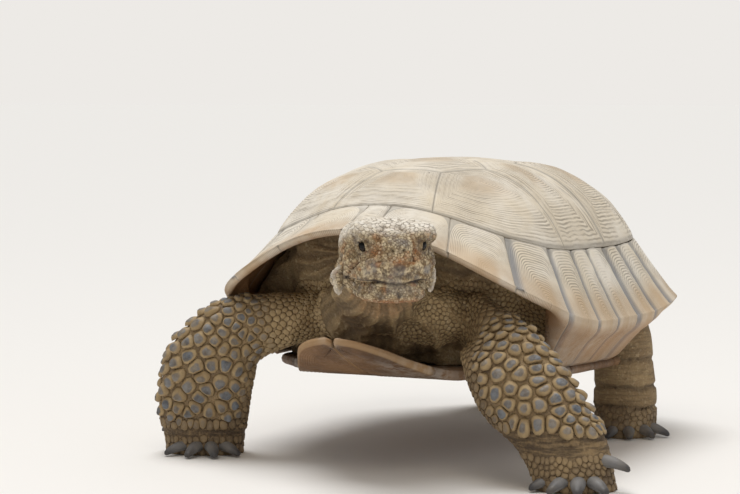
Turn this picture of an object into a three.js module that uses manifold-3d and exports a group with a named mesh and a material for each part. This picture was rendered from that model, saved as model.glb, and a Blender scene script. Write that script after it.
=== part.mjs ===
// A desert tortoise standing on four feet, as a still museum model. Millimetres, +Z up.
// Its head points along -Y and its left side is +X; the floor is z = 0.
import * as THREE from 'three';
import { mergeVertices } from 'three/addons/utils/BufferGeometryUtils.js';
import Module from 'manifold-3d';

const wasm = await Module();
wasm.setup();

// ---------------------------------------------------------------- driving sizes

const gap = 0.3; // clearance between neighbouring pieces
const roofSlack = 2.8; // clearance under the plates, which are flatter than the body below them

// The shell's own frame: x to the animal's left, y to the rear, z up from the belly's lowest plane.
const shell = {
  halfWidth: 97,
  frontReach: 130.5,
  rearReach: 138,
  top: 108,
  frontRim: 72.5, // height of the rim above the neck
  sideRim: 28, // height of the keel above the bridge
  rearRim: 31,
  sideFullness: 0.86, // exponents of the rim's outline, 1 is an ellipse
  endFullness: 0.6,
  frontRise: 2.7, // how suddenly the rim rises over the neck
  seam: 0.79, // share of the way out where the marginal plates begin
  apexBack: 2,
  plate: 3.6, // thickness of the plates
  lip: 3, // thickness of the rim's edge
};
const flareFront = { at: deg(54), spread: deg(20), out: 7.5, up: 2 };
const flareRear = { at: deg(118), spread: deg(22), out: 6.5, up: 8 };
// Profile from top to seam: roundness, steepness and the seam's share of the height.
const profileSide = { round: 3.3, steep: 0.88, seamRise: 0.44 };
const profileFront = { round: 2.7, steep: 0.85, seamRise: 0.33 };
const profileRear = { round: 4, steep: 0.95, seamRise: 0.42 };
const skirtCurve = 1.1;
const stance = { x: 27.8, z: 41.2, roll: deg(0.4), pitch: deg(-2.2) };

// Where the bridge joins the upper shell to the belly, as angles from the front.
const bridge = { from: deg(61), to: deg(98), blend: deg(5), inset: 0.19, floor: 5.4 };

const belly = {
  thickness: 5,
  halfWidth: 78,
  shoulderWidth: 44,
  throatWidth: 17,
  throatTip: -157,
  notchDepth: 7,
  shoulderFrom: -100,
  bridgeFront: -50,
  bridgeRear: 50,
  thighWidth: 56,
  thighFrom: 76,
  tailTip: 116,
  tailWidth: 27,
  tailNotch: 15,
  throatLift: 19,
};

const colours = {
  plate: '#c3ab86',
  belly: '#a67f58',
  skin: '#8a7456',
  head: '#9c8a6a',
  limb: '#8f7a5a',
  eye: '#1c1712',
};
const dullRoughness = 0.8;
const eyeRoughness = 0.2;

function deg(a) {
  return THREE.MathUtils.degToRad(a);
}

const clamp = THREE.MathUtils.clamp;
const mix = THREE.MathUtils.lerp;
const smooth = THREE.MathUtils.smoothstep;
const signedPower = (x, e) => Math.sign(x) * Math.abs(x) ** e;
const bump = (a, f) => Math.exp(-(((Math.abs(a) - f.at) / f.spread) ** 2));

// ---------------------------------------------------------------- solids

// A closed body with the sphere's grid, each vertex set by place(column, row).
function closedForm(columns, rows, place) {
  const g = new THREE.SphereGeometry(1, columns, rows);
  const pos = g.attributes.position;
  for (let row = 0; row <= rows; row += 1) {
    for (let col = 0; col <= columns; col += 1) {
      const p = place(col % columns, row);
      pos.setXYZ(row * (columns + 1) + col, p.x, p.y, p.z);
    }
  }
  g.deleteAttribute('normal');
  g.deleteAttribute('uv');
  return faceOut(mergeVertices(g, 1e-3));
}

function volumeOf(g) {
  const p = g.attributes.position;
  const i = g.index.array;
  const [a, b, c] = [new THREE.Vector3(), new THREE.Vector3(), new THREE.Vector3()];
  let sum = 0;
  for (let k = 0; k < i.length; k += 3) {
    a.fromBufferAttribute(p, i[k]);
    b.fromBufferAttribute(p, i[k + 1]);
    c.fromBufferAttribute(p, i[k + 2]);
    sum += a.dot(b.cross(c)) / 6;
  }
  return sum;
}

function faceOut(g) {
  if (volumeOf(g) < 0) {
    const i = g.index.array;
    for (let k = 0; k < i.length; k += 3) [i[k], i[k + 1]] = [i[k + 1], i[k]];
  }
  return g;
}

function toSolid(g) {
  const position = new Float32Array(g.attributes.position.array);
  const index = new Uint32Array(g.index.array);
  return new wasm.Manifold(new wasm.Mesh({ numProp: 3, vertProperties: position, triVerts: index }));
}

function toGeometry(solid) {
  const mesh = solid.getMesh();
  const g = new THREE.BufferGeometry();
  g.setAttribute('position', new THREE.BufferAttribute(mesh.vertProperties, 3));
  g.setIndex(new THREE.BufferAttribute(mesh.triVerts, 1));
  return g;
}

const join = (parts) => parts.reduce((a, b) => a.add(b));
const cut = (solid, tools) => tools.reduce((a, b) => a.subtract(b), solid);

// The biggest piece of a cut solid; slivers left past a cut are dropped.
function mainPiece(solid) {
  const pieces = solid.decompose();
  return pieces.reduce((a, b) => (a.volume() > b.volume() ? a : b));
}

function ball(centre, half, columns = 12, rows = 8, power = 2) {
  return closedForm(columns, rows, (col, row) => {
    const az = (2 * Math.PI * col) / columns;
    const el = (Math.PI * row) / rows;
    const e = 2 / power;
    const x = signedPower(Math.cos(az), e) * Math.sin(el) ** e;
    const y = signedPower(Math.sin(az), e) * Math.sin(el) ** e;
    return new THREE.Vector3(x * half[0], y * half[1], signedPower(Math.cos(el), e) * half[2])
      .add(new THREE.Vector3(...centre));
  });
}

// A limb: rings along a smooth line, each [x, y, z, half width, half depth]. The width lies in the
// plane that the limb bends in, and depthAxis is square to that plane.
function limb(stations, depthAxis, columns, rows, grow = 0) {
  const line = new THREE.CatmullRomCurve3(stations.map((s) => new THREE.Vector3(s[0], s[1], s[2])));
  const sizes = new THREE.CatmullRomCurve3(stations.map((s) => new THREE.Vector3(s[3], s[4], 0)));
  const deep = new THREE.Vector3(...depthAxis).normalize();
  return closedForm(columns, rows, (col, row) => {
    const t = clamp((row - 1) / (rows - 2), 0, 1);
    const centre = line.getPoint(t);
    if (row === 0 || row === rows) return centre;
    const wide = new THREE.Vector3().crossVectors(line.getTangent(t), deep).normalize();
    const size = sizes.getPoint(t);
    const az = (2 * Math.PI * col) / columns;
    return centre
      .addScaledVector(wide, Math.cos(az) * (size.x + grow))
      .addScaledVector(deep, Math.sin(az) * (size.y + grow));
  });
}

// ---------------------------------------------------------------- the shell's surface

function rim(angle) {
  const s = Math.sin(angle);
  const c = Math.cos(angle);
  const front = Math.max(c, 0);
  const rear = Math.max(-c, 0);
  const x = shell.halfWidth * signedPower(s, shell.sideFullness);
  const y = -(c > 0 ? shell.frontReach : shell.rearReach) * signedPower(c, shell.endFullness);
  const atFront = bump(angle, flareFront);
  const atRear = bump(angle, flareRear);
  const stretch = 1 + (flareFront.out * atFront + flareRear.out * atRear) / Math.hypot(x, y);
  const z = shell.sideRim
    + (shell.frontRim - shell.sideRim) * front ** shell.frontRise
    + (shell.rearRim - shell.sideRim) * rear ** 2
    + flareFront.up * atFront + flareRear.up * atRear;
  return new THREE.Vector3(x * stretch, y * stretch, z);
}

// A point of the upper shell: (p, q) is a unit disc seen from above, +p left and +q rear.
function dome(p, q) {
  const out = clamp(Math.hypot(p, q), 0, 1);
  const angle = Math.atan2(p, -q);
  const edge = rim(angle);
  const front = Math.max(Math.cos(angle), 0) ** 2;
  const rear = Math.max(-Math.cos(angle), 0) ** 2;
  const blend = (key) => profileSide[key]
    + (profileFront[key] - profileSide[key]) * front
    + (profileRear[key] - profileSide[key]) * rear;
  const seamRise = blend('seamRise');
  const inner = 1 - clamp(out / shell.seam, 0, 1) ** blend('round');
  const rise = out < shell.seam
    ? seamRise + (1 - seamRise) * inner ** blend('steep')
    : seamRise * ((1 - out) / (1 - shell.seam)) ** skirtCurve;
  return new THREE.Vector3(
    edge.x * out,
    shell.apexBack + (edge.y - shell.apexBack) * out,
    edge.z + (shell.top - edge.z) * rise,
  );
}

// The same point moved inwards, square to the surface.
function under(p, q, depth) {
  const step = 0.01;
  const size = Math.hypot(p, q);
  const k = size > 1 - step ? (1 - step) / size : 1;
  const along = dome(p * k + step, q * k).sub(dome(p * k - step, q * k));
  const across = dome(p * k, q * k + step).sub(dome(p * k, q * k - step));
  const out = along.cross(across).normalize();
  return dome(p, q).addScaledVector(out, -depth);
}

function toStance(v) {
  v.applyAxisAngle(new THREE.Vector3(0, 1, 0), stance.roll);
  v.applyAxisAngle(new THREE.Vector3(1, 0, 0), stance.pitch);
  return v.add(new THREE.Vector3(stance.x, 0, stance.z));
}

// ---------------------------------------------------------------- plates of the upper shell

// Corners of the seams on the disc, for the left side; the right side mirrors them.
const seams = {
  nuchalAngle: deg(3),
  firstFront: onSeam(17),
  firstRear: [0.139, -0.502],
  secondSide: [0.309, -0.298],
  secondRear: [0.15, -0.15],
  thirdSide: [0.3, 0],
  thirdRear: [0.15, 0.145],
  fourthSide: [0.29, 0.275],
  fourthRear: [0.14, 0.41],
  costalFirst: onSeam(75),
  costalSecond: onSeam(91),
  costalThird: onSeam(108),
  fifthRear: onSeam(150),
};

function onSeam(degrees) {
  return [shell.seam * Math.sin(deg(degrees)), -shell.seam * Math.cos(deg(degrees))];
}

const mirrored = ([p, q]) => [-p, q];

// The outline of a plate: corners joined by straight seams, or by the marginal seam's curve where
// both ends lie on it.
function outline(corners, perSide) {
  const points = [];
  corners.forEach((a, k) => {
    const b = corners[(k + 1) % corners.length];
    const onCurve = [a, b].every((c) => Math.abs(Math.hypot(...c) - shell.seam) < 1e-6);
    const from = Math.atan2(a[0], -a[1]);
    let turn = Math.atan2(b[0], -b[1]) - from;
    if (turn > Math.PI) turn -= 2 * Math.PI;
    if (turn < -Math.PI) turn += 2 * Math.PI;
    const steps = onCurve ? perSide * 2 : perSide;
    for (let n = 0; n < steps; n += 1) {
      const t = n / steps;
      const angle = from + turn * t;
      points.push(onCurve
        ? [shell.seam * Math.sin(angle), -shell.seam * Math.cos(angle)]
        : [mix(a[0], b[0], t), mix(a[1], b[1], t)]);
    }
  });
  return points;
}

// A plate of the dome: its outline drawn in from the seams, a raised middle and a flat underside.
const plateRows = { boss: 1.2, middle: 0.5 };

function domePlate(corners, perSide = 3) {
  const edge = outline(corners, perSide);
  const centre = [0, 1].map((k) => corners.reduce((sum, c) => sum + c[k], 0) / corners.length);
  const seamGap = gap / shell.halfWidth;
  const { boss, middle } = plateRows;
  // Each row is its share of the way from the centre to the seams, and its depth.
  const over = [[0, -boss], [middle, -boss], [1, 0]];
  const rows = [...over, ...[1, middle, 0].map((share) => [share, shell.plate])];
  return closedForm(edge.length, rows.length - 1, (col, row) => {
    const [share, depth] = rows[row];
    const [dp, dq] = [edge[col][0] - centre[0], edge[col][1] - centre[1]];
    const size = Math.hypot(dp, dq);
    const reach = (share * (size - seamGap)) / size;
    return toStance(under(centre[0] + dp * reach, centre[1] + dq * reach, depth));
  });
}

const bridgeShare = (angle) => {
  const a = Math.abs(angle);
  const enter = smooth(a, bridge.from - bridge.blend, bridge.from + bridge.blend);
  return enter * (1 - smooth(a, bridge.to - bridge.blend, bridge.to + bridge.blend));
};

// Shares of the way out to the rim, and heights, that shape a marginal plate's section.
const section = {
  middle: 0.9,
  nearEdge: 0.985,
  underLip: 0.975,
  wall: 0.035,
  keelDrop: 6,
  keelInside: 0.925,
  bulge: 0.01,
  hub: 0.55,
};
const lipShape = [0, 0.2, 0.35, 0.5, 0.675, 0.85];

// A cut through a marginal plate at one angle: out over the skirt to the rim, then either back
// under the lip or, on the bridge, down and in to the belly.
function marginalCut(angle, grow = 0) {
  const edge = rim(angle);
  const on = (out) => [out * Math.sin(angle), -out * Math.cos(angle)];
  const at = (out, z) => new THREE.Vector3(edge.x * out, edge.y * out, z);
  const seam = shell.seam + (gap / 2 - grow) / shell.halfWidth;
  const wall = shell.plate + grow;
  const outer = [seam, section.middle, section.nearEdge].map((out) => under(...on(out), -grow));
  const inner = [seam, section.middle].map((out) => under(...on(out), wall));
  const tip = at(1 + grow / shell.halfWidth, edge.z);
  const lip = at(section.underLip, edge.z - shell.lip - grow);
  const foot = 1 - bridge.inset;
  const half = [(1 + foot) / 2, (edge.z + bridge.floor) / 2];
  const onBridge = [
    at(section.nearEdge, edge.z - section.keelDrop - grow),
    at(half[0] + section.bulge, half[1] - grow),
    at(foot, bridge.floor),
    at(foot - section.wall, bridge.floor + wall),
    at(half[0] - section.wall, half[1] + wall),
    at(section.keelInside, edge.z),
  ];
  const below = onBridge.map((v, k) => lip.clone().lerp(inner[1], lipShape[k]).lerp(v, bridgeShare(angle)));
  const ring = [...outer, tip, ...below, inner[1], inner[0]];
  const hub = tip.clone().lerp(below[below.length - 1], section.hub);
  return { ring, hub };
}

// The angle that takes up half the clearance beside a seam.
function trimAt(angle, grow) {
  const step = deg(0.1);
  const perRadian = rim(angle + step).distanceTo(rim(angle - step)) / (2 * step);
  return (gap / 2 - grow) / perRadian;
}

const narrowPlate = deg(11);

function marginalPlate(fromAngle, toAngle, grow = 0) {
  const [from, to] = [fromAngle + trimAt(fromAngle, grow), toAngle - trimAt(toAngle, grow)];
  const steps = to - from < narrowPlate ? 1 : 2;
  const cuts = Array.from({ length: steps + 1 }, (_, k) => marginalCut(mix(from, to, k / steps), grow));
  const last = cuts.length - 1;
  return closedForm(cuts[0].ring.length, cuts.length + 1, (col, row) => {
    if (row === 0) return toStance(cuts[0].hub.clone());
    if (row > cuts.length) return toStance(cuts[last].hub.clone());
    return toStance(cuts[row - 1].ring[col].clone());
  });
}

// Seams between the marginal plates round the rim, in degrees from the front.
const marginalSeams = [3, 24, 45, 64, 78, 86.4, 90.2, 95, 104, 121, 143, 167].map(deg);

// ---------------------------------------------------------------- plates of the belly

const bellySeams = [-116, -76, -34, 34, 72];

function bellyHalfWidth(y) {
  const b = belly;
  if (y < b.shoulderFrom) {
    const t = (b.shoulderFrom - y) / (b.shoulderFrom - b.throatTip);
    return mix(b.shoulderWidth, b.throatWidth, t) * Math.sqrt(1 - Math.max(0, (t - 0.86) / 0.14) ** 2 * 0.96);
  }
  if (y < b.bridgeFront) return mix(b.shoulderWidth, b.halfWidth, smooth(y, b.shoulderFrom, b.bridgeFront));
  if (y < b.bridgeRear) return b.halfWidth;
  if (y < b.thighFrom) return mix(b.halfWidth, b.thighWidth, smooth(y, b.bridgeRear, b.thighFrom));
  const t = (y - b.thighFrom) / (b.tailTip - b.thighFrom);
  return mix(b.thighWidth, b.tailWidth, t ** 1.4) * Math.sqrt(1 - Math.max(0, (t - 0.8) / 0.2) ** 2 * 0.9);
}

// The midline stops short at the forked throat and at the notch over the tail.
function bellyEnd(share, y, end) {
  const notch = end < 0 ? belly.notchDepth : belly.tailNotch;
  return y - Math.sign(end) * notch * (1 - share) ** 2;
}

const bellyLift = (y) => belly.throatLift
  * clamp((belly.shoulderFrom - y) / (belly.shoulderFrom - belly.throatTip), 0, 1) ** 1.5;

// A belly plate on one side (1 left, -1 right) between two cross seams.
function bellyPlate(side, y0, y1, grow = 0) {
  const perSide = 4;
  const edge = [];
  const ends = [belly.throatTip, belly.tailTip];
  const place = (share, y) => {
    const width = bellyHalfWidth(y);
    const atEnd = ends.find((e) => Math.abs(e - y) < 1e-6);
    return [mix(gap / 2 - grow, width + grow, share), atEnd === undefined ? y : bellyEnd(share, y, atEnd)];
  };
  const [a, b] = [y0 + gap / 2 - grow, y1 - gap / 2 + grow];
  const first = ends.includes(y0) ? y0 : a;
  const last = ends.includes(y1) ? y1 : b;
  for (let n = 0; n < perSide; n += 1) edge.push(place(n / perSide, first));
  for (let n = 0; n < perSide; n += 1) edge.push(place(1, mix(first, last, n / perSide)));
  for (let n = 0; n < perSide; n += 1) edge.push(place(1 - n / perSide, last));
  for (let n = 0; n < perSide; n += 1) edge.push(place(0, mix(last, first, n / perSide)));
  const centre = [0.5 * bellyHalfWidth((y0 + y1) / 2), (y0 + y1) / 2];
  const rows = [0, 1, 1, 0];
  return closedForm(edge.length, rows.length - 1, (col, row) => {
    const x = mix(centre[0], edge[col][0], rows[row]);
    const y = mix(centre[1], edge[col][1], rows[row]);
    const z = row < 2 ? belly.thickness + grow : -grow;
    const thin = row < 2 ? 1 : 0;
    return toStance(new THREE.Vector3(side * x, y, z + bellyLift(y) + thin * 0.12 * bellyLift(y)));
  });
}

// ---------------------------------------------------------------- flesh

// The body inside the shell: under the plates above, out into the bridge at the sides, and drawn
// back at the front and rear, where neck, legs and tail come out. Walls give a share of the way out
// to the rim, with a height above the rim on the bridge, or a share of the seam's height elsewhere.
const trunkShape = {
  roof: [0.25, 0.5, 0.68, 0.775],
  bridgeWall: [[0.878, 9], [0.893, 1], [0.76, -14]],
  openWall: [[0.74, 0.8], [0.7, 0.5], [0.66, 0.28]],
  bridgeFloor: 0.745,
  openFloor: 0.62,
};

function trunkForm(grow = 0) {
  const { roof, bridgeWall, openWall } = trunkShape;
  const columns = 32;
  const rows = roof.length + bridgeWall.length + 3;
  const depth = shell.plate + roofSlack - grow;
  const floorLevel = belly.thickness + gap - grow;
  const wide = grow / shell.halfWidth;
  return closedForm(columns, rows, (col, row) => {
    const angle = (2 * Math.PI * col) / columns - Math.PI;
    const on = (out) => [out * Math.sin(angle), -out * Math.cos(angle)];
    if (row === 0) return toStance(under(0, 0, depth));
    if (row <= roof.length) return toStance(under(...on(roof[row - 1]), depth));
    if (row === rows) return toStance(new THREE.Vector3(0, 0, floorLevel));
    const edge = rim(angle);
    const share = bridgeShare(angle);
    const at = (out, z) => toStance(new THREE.Vector3(edge.x * out, edge.y * out, z));
    const wall = row - roof.length - 1;
    if (wall < bridgeWall.length) {
      const seamHeight = dome(...on(shell.seam)).z;
      const out = mix(openWall[wall][0], bridgeWall[wall][0], share) + wide;
      return at(out, mix(seamHeight * openWall[wall][1], edge.z + bridgeWall[wall][1], share));
    }
    const out = mix(trunkShape.openFloor, trunkShape.bridgeFloor, share) + wide;
    return at(wall === bridgeWall.length ? out : out / 2, floorLevel);
  });
}

// Chest and rump swell out of the trunk between the shell's two halves.
const chest = { centre: [30, -82, 76], half: [44, 30, 22] };
const rump = { centre: [28, 78, 68], half: [46, 28, 17] };

// Stations along neck, tail and legs: x, y, z, half width and half depth.
const neckLine = [
  [28, -78, 80, 27, 25],
  [32, -104, 88, 25, 25],
  [40, -126, 94, 21, 23],
  [49, -141, 98, 18, 20],
];
const tailLine = [
  [42, 96, 68, 11, 12],
  [49, 111, 62, 9, 9.5],
  [56, 122, 55, 5.5, 6],
  [62, 129, 50, 2, 2],
];

// Each leg bends square to its depthAxis. Claws stand round the foot's middle, one at each heading:
// 0 points forward and 90 to the left. The outermost claw of a forefoot, the first in its list, is
// held clear of the ground by outerLift.
const legs = {
  foreleg_right: {
    stations: [
      [0, -70, 72, 16, 17],
      [-26, -84, 70, 14, 17],
      [-52, -94, 63, 18.5, 16],
      [-65, -98, 47, 23.5, 15],
      [-71, -96, 28, 24, 14],
      [-73.5, -92, 11, 23, 14.5],
      [-74, -90, -8, 23, 15],
    ],
    depthAxis: [-0.3, 0.95, 0],
    columns: 16,
    foot: [-72, -92],
    headings: [-85, -30, 4, 37, 68],
    clawSize: 4.4,
    outerLift: 9,
  },
  foreleg_left: {
    stations: [
      [60, -74, 72, 16, 16],
      [79, -94, 71, 15, 16],
      [94, -111, 63, 19, 16],
      [108, -119, 47, 22, 15],
      [124, -122, 31, 20.5, 14.5],
      [135, -123, 15, 20.5, 15],
      [140, -124, -7, 22.5, 15],
    ],
    depthAxis: [-0.45, 0.9, 0],
    columns: 16,
    foot: [140, -123],
    headings: [88, 50, 18, -14, -46],
    clawSize: 4.8,
    outerLift: 9,
  },
  hindleg_right: {
    stations: [
      [-14, 70, 66, 19, 18],
      [-21, 96, 61, 18.5, 18],
      [-20, 118, 46, 18, 17.5],
      [-9, 134, 28, 17, 17],
      [1, 142, 12, 17.5, 18],
      [4, 144, -6, 18.5, 19],
    ],
    depthAxis: [1, -0.3, 0],
    columns: 16,
    foot: [4, 144],
    headings: [80, 50, 20, -10],
    clawSize: 4.6,
    outerLift: 0,
  },
  hindleg_left: {
    stations: [
      [70, 64, 76, 17, 20],
      [88, 62, 70, 17, 20],
      [98, 61, 54, 17.5, 19],
      [101, 60, 36, 17, 18],
      [102, 60, 18, 18, 19],
      [103, 59, -6, 18.5, 20],
    ],
    depthAxis: [0, 1, 0],
    columns: 16,
    foot: [103, 59],
    headings: [83, 53, 22, -6],
    clawSize: 4.6,
    outerLift: 0,
  },
};
const legRows = 11;
const claw = {
  root: 12,
  tip: 25.5,
  rootHeight: 1.3,
  tipHeight: 0.5,
  flatness: 0.8,
  taper: [1, 1, 0.84, 0.42],
};

function claws({ foot, headings, clawSize, outerLift }) {
  return headings.map((heading, k) => {
    const lift = k === 0 ? outerLift : 0;
    const out = new THREE.Vector3(Math.sin(deg(heading)), -Math.cos(deg(heading)), 0);
    const stations = claw.taper.map((share, n) => {
      const t = n / (claw.taper.length - 1);
      const p = new THREE.Vector3(...foot, 0).addScaledVector(out, mix(claw.root, claw.tip, t));
      const r = clawSize * share;
      const height = Math.max(clawSize * mix(claw.rootHeight, claw.tipHeight, t), r * claw.flatness);
      return [p.x, p.y, height + lift, r, r * claw.flatness];
    });
    return toSolid(limb(stations, [0, 0, 1], 6, 5));
  });
}

const head = { centre: [59.5, -160, 107], turn: deg(35), nod: deg(1) };

// Rounded boxes that the head's surface blends: centre, half sizes and squareness.
const headForms = [
  [[0, 7, 4.5], [21.2, 20, 14.6], 3],
  [[0, -9, -3], [17.6, 16, 8.6], 2.6],
  [[0, -8, 6], [12, 16.5, 8.6], 2.4],
  [[0, -18.5, 6.5], [7.4, 7, 6.6], 2.2],
  [[0, -6, -12.5], [17.4, 18.5, 7], 2.6],
  [[0, 10, -8], [18, 16, 9], 2.4],
  [[13, -6, 13.2], [7.6, 9.5, 4.6], 2.2],
  [[-13, -6, 13.2], [7.6, 9.5, 4.6], 2.2],
  [[21.2, 8, -9], [2.6, 5.5, 6.6], 2],
  [[-21.2, 8, -9], [2.6, 5.5, 6.6], 2],
];
const headBlend = 1.1;
const headHeart = new THREE.Vector3(0, 0, -1);
const headSearch = { from: 2, to: 45, steps: 20 };
const eye = { at: [11.8, -9.6, 7.6], radius: 4.3 };

function headField(p) {
  const near = headForms.map(([c, h, n]) => {
    const size = [0, 1, 2].reduce((sum, k) => sum + Math.abs((p.getComponent(k) - c[k]) / h[k]) ** n, 0);
    return (size ** (1 / n) - 1) * Math.min(...h);
  });
  return -headBlend * Math.log(near.reduce((sum, d) => sum + Math.exp(-d / headBlend), 0));
}

const fromHead = (v) => v
  .applyAxisAngle(new THREE.Vector3(1, 0, 0), head.nod)
  .applyAxisAngle(new THREE.Vector3(0, 0, 1), head.turn)
  .add(new THREE.Vector3(...head.centre));

// The surface is found along rays from the heart; the grid's poles lie at the nose and the nape.
function headForm(grow = 0) {
  const columns = 24;
  const rows = 14;
  return closedForm(columns, rows, (col, row) => {
    const az = (2 * Math.PI * (col + 0.5)) / columns;
    const el = (Math.PI * row) / rows;
    const way = new THREE.Vector3(Math.sin(el) * Math.cos(az), -Math.cos(el), Math.sin(el) * Math.sin(az));
    let [inside, outside] = [headSearch.from, headSearch.to];
    for (let n = 0; n < headSearch.steps; n += 1) {
      const middle = (inside + outside) / 2;
      if (headField(headHeart.clone().addScaledVector(way, middle)) < 0) inside = middle;
      else outside = middle;
    }
    return fromHead(headHeart.clone().addScaledVector(way, inside + grow));
  });
}

function eyeBall(side, grow = 0) {
  const at = fromHead(new THREE.Vector3(side * eye.at[0], eye.at[1], eye.at[2]));
  const r = eye.radius + grow;
  return ball(at.toArray(), [r, r, r], 10, 7);
}

// ---------------------------------------------------------------- assembly

const tortoise = new THREE.Group();

function add(name, geometry, colour, roughness = dullRoughness) {
  const g = geometry.index ? geometry.toNonIndexed() : geometry;
  g.computeVertexNormals();
  const material = new THREE.MeshStandardMaterial({ color: colour, roughness, metalness: 0 });
  const mesh = new THREE.Mesh(mergeVertices(g.deleteAttribute('normal'), 1e-4), material);
  mesh.name = name;
  tortoise.add(mesh);
}

const s = seams;
const vertebrals = [
  [s.firstFront, s.firstRear, mirrored(s.firstRear), mirrored(s.firstFront)],
  [s.firstRear, s.secondSide, s.secondRear, ...[s.secondRear, s.secondSide, s.firstRear].map(mirrored)],
  [s.secondRear, s.thirdSide, s.thirdRear, ...[s.thirdRear, s.thirdSide, s.secondRear].map(mirrored)],
  [s.thirdRear, s.fourthSide, s.fourthRear, ...[s.fourthRear, s.fourthSide, s.thirdRear].map(mirrored)],
  [s.fourthRear, s.fifthRear, mirrored(s.fifthRear), mirrored(s.fourthRear)],
];
const costals = [
  [s.firstFront, s.costalFirst, s.secondSide, s.firstRear],
  [s.costalFirst, s.costalSecond, s.thirdSide, s.secondRear, s.secondSide],
  [s.costalSecond, s.costalThird, s.fourthSide, s.thirdRear, s.thirdSide],
  [s.costalThird, s.fifthRear, s.fourthRear, s.fourthSide],
];
vertebrals.forEach((corners, k) => add(`vertebral_${k + 1}`, domePlate(corners), colours.plate));
for (const [label, flip] of [['left', (c) => c], ['right', mirrored]]) {
  costals.forEach((corners, k) => {
    add(`costal_${k + 1}_${label}`, domePlate(corners.map(flip)), colours.plate);
  });
}

add('nuchal', marginalPlate(-s.nuchalAngle, s.nuchalAngle), colours.plate);
const tailSeam = marginalSeams[marginalSeams.length - 1];
add('supracaudal', marginalPlate(tailSeam, 2 * Math.PI - tailSeam), colours.plate);
for (let k = 0; k < marginalSeams.length - 1; k += 1) {
  const [a, b] = [marginalSeams[k], marginalSeams[k + 1]];
  add(`marginal_${k + 1}_left`, marginalPlate(a, b), colours.plate);
  add(`marginal_${k + 1}_right`, marginalPlate(-b, -a), colours.plate);
}

const bellyNames = ['gular', 'humeral', 'pectoral', 'abdominal', 'femoral', 'anal'];
const bellyCuts = [belly.throatTip, ...bellySeams, belly.tailTip];
bellyNames.forEach((name, k) => {
  add(`${name}_left`, bellyPlate(1, bellyCuts[k], bellyCuts[k + 1]), colours.belly);
  add(`${name}_right`, bellyPlate(-1, bellyCuts[k], bellyCuts[k + 1]), colours.belly);
});
const bellyTools = bellyNames.flatMap((_, k) => [1, -1]
  .map((side) => toSolid(bellyPlate(side, bellyCuts[k], bellyCuts[k + 1], gap))));
const rimTools = marginalSeams.slice(0, -1).flatMap((a, k) => {
  const b = marginalSeams[k + 1];
  return [toSolid(marginalPlate(a, b, gap)), toSolid(marginalPlate(-b, -a, gap))];
});
rimTools.push(toSolid(marginalPlate(-s.nuchalAngle, s.nuchalAngle, gap)));
const shellTools = [...bellyTools, ...rimTools];

const floorSize = { side: 600, depth: 60 };
const floorBlock = new THREE.BoxGeometry(floorSize.side, floorSize.side, floorSize.depth);
floorBlock.deleteAttribute('normal');
floorBlock.deleteAttribute('uv');
const floorTool = toSolid(mergeVertices(floorBlock)).translate([0, 0, -floorSize.depth / 2]);

const swell = ({ centre, half }, grow) => toSolid(ball(centre, half.map((h) => h + grow), 14, 8));
const body = (grow) => join([toSolid(trunkForm(grow)), swell(chest, grow), swell(rump, grow)]);
add('trunk', toGeometry(body(0)), colours.skin);

const bodyTool = body(gap);
const headTool = toSolid(headForm(gap));
const neckForm = (grow) => toSolid(limb(neckLine, [0, 0, 1], 18, 8, grow));
const neck = mainPiece(cut(neckForm(0), [bodyTool, headTool, ...shellTools]));
add('neck', toGeometry(neck), colours.skin);

const eyeTools = [1, -1].map((side) => toSolid(eyeBall(side, gap)));
add('head', toGeometry(mainPiece(cut(toSolid(headForm()), eyeTools))), colours.head);
add('eye_left', eyeBall(1), colours.eye, eyeRoughness);
add('eye_right', eyeBall(-1), colours.eye, eyeRoughness);

const legTools = [bodyTool, neckForm(gap), floorTool, ...shellTools];
for (const [name, form] of Object.entries(legs)) {
  const column = toSolid(limb(form.stations, form.depthAxis, form.columns, legRows));
  add(name, toGeometry(mainPiece(cut(join([column, ...claws(form)]), legTools))), colours.limb);
}

const tail = cut(toSolid(limb(tailLine, [0, 0.45, 0.9], 12, 8)), [bodyTool, ...shellTools]);
add('tail', toGeometry(mainPiece(tail)), colours.skin);

// The origin is the middle of the model's box, at floor level.
const box = new THREE.Box3().setFromObject(tortoise);
const middle = box.getCenter(new THREE.Vector3());
tortoise.children.forEach((mesh) => mesh.geometry.translate(-middle.x, -middle.y, -box.min.z));

export default tortoise;
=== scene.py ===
# A desert tortoise on its four feet, as a still museum model: shell plates, one skin, scales, eyes, claws.
# Forms are worked out in millimetres in the body's own frame and placed in metres in the CAD frame.
import math
import bpy
import numpy as np
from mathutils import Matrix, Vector
from mathutils.bvhtree import BVHTree
from mathutils.kdtree import KDTree


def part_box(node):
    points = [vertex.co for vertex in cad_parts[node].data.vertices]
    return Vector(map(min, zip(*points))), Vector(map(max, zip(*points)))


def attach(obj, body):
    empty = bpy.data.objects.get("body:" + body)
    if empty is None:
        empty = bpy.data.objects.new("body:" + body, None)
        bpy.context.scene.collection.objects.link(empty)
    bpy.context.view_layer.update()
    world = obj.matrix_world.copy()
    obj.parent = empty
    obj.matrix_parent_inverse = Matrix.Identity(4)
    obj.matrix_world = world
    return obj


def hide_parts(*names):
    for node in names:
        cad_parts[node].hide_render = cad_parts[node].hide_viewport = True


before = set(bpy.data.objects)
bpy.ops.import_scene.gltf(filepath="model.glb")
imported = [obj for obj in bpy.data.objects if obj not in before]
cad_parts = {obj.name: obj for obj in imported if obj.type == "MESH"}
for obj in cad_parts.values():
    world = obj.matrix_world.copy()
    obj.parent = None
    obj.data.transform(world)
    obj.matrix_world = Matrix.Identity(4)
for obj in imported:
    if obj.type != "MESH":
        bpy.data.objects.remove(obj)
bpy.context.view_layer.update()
deg = math.radians
rng = np.random.default_rng(27)

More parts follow.
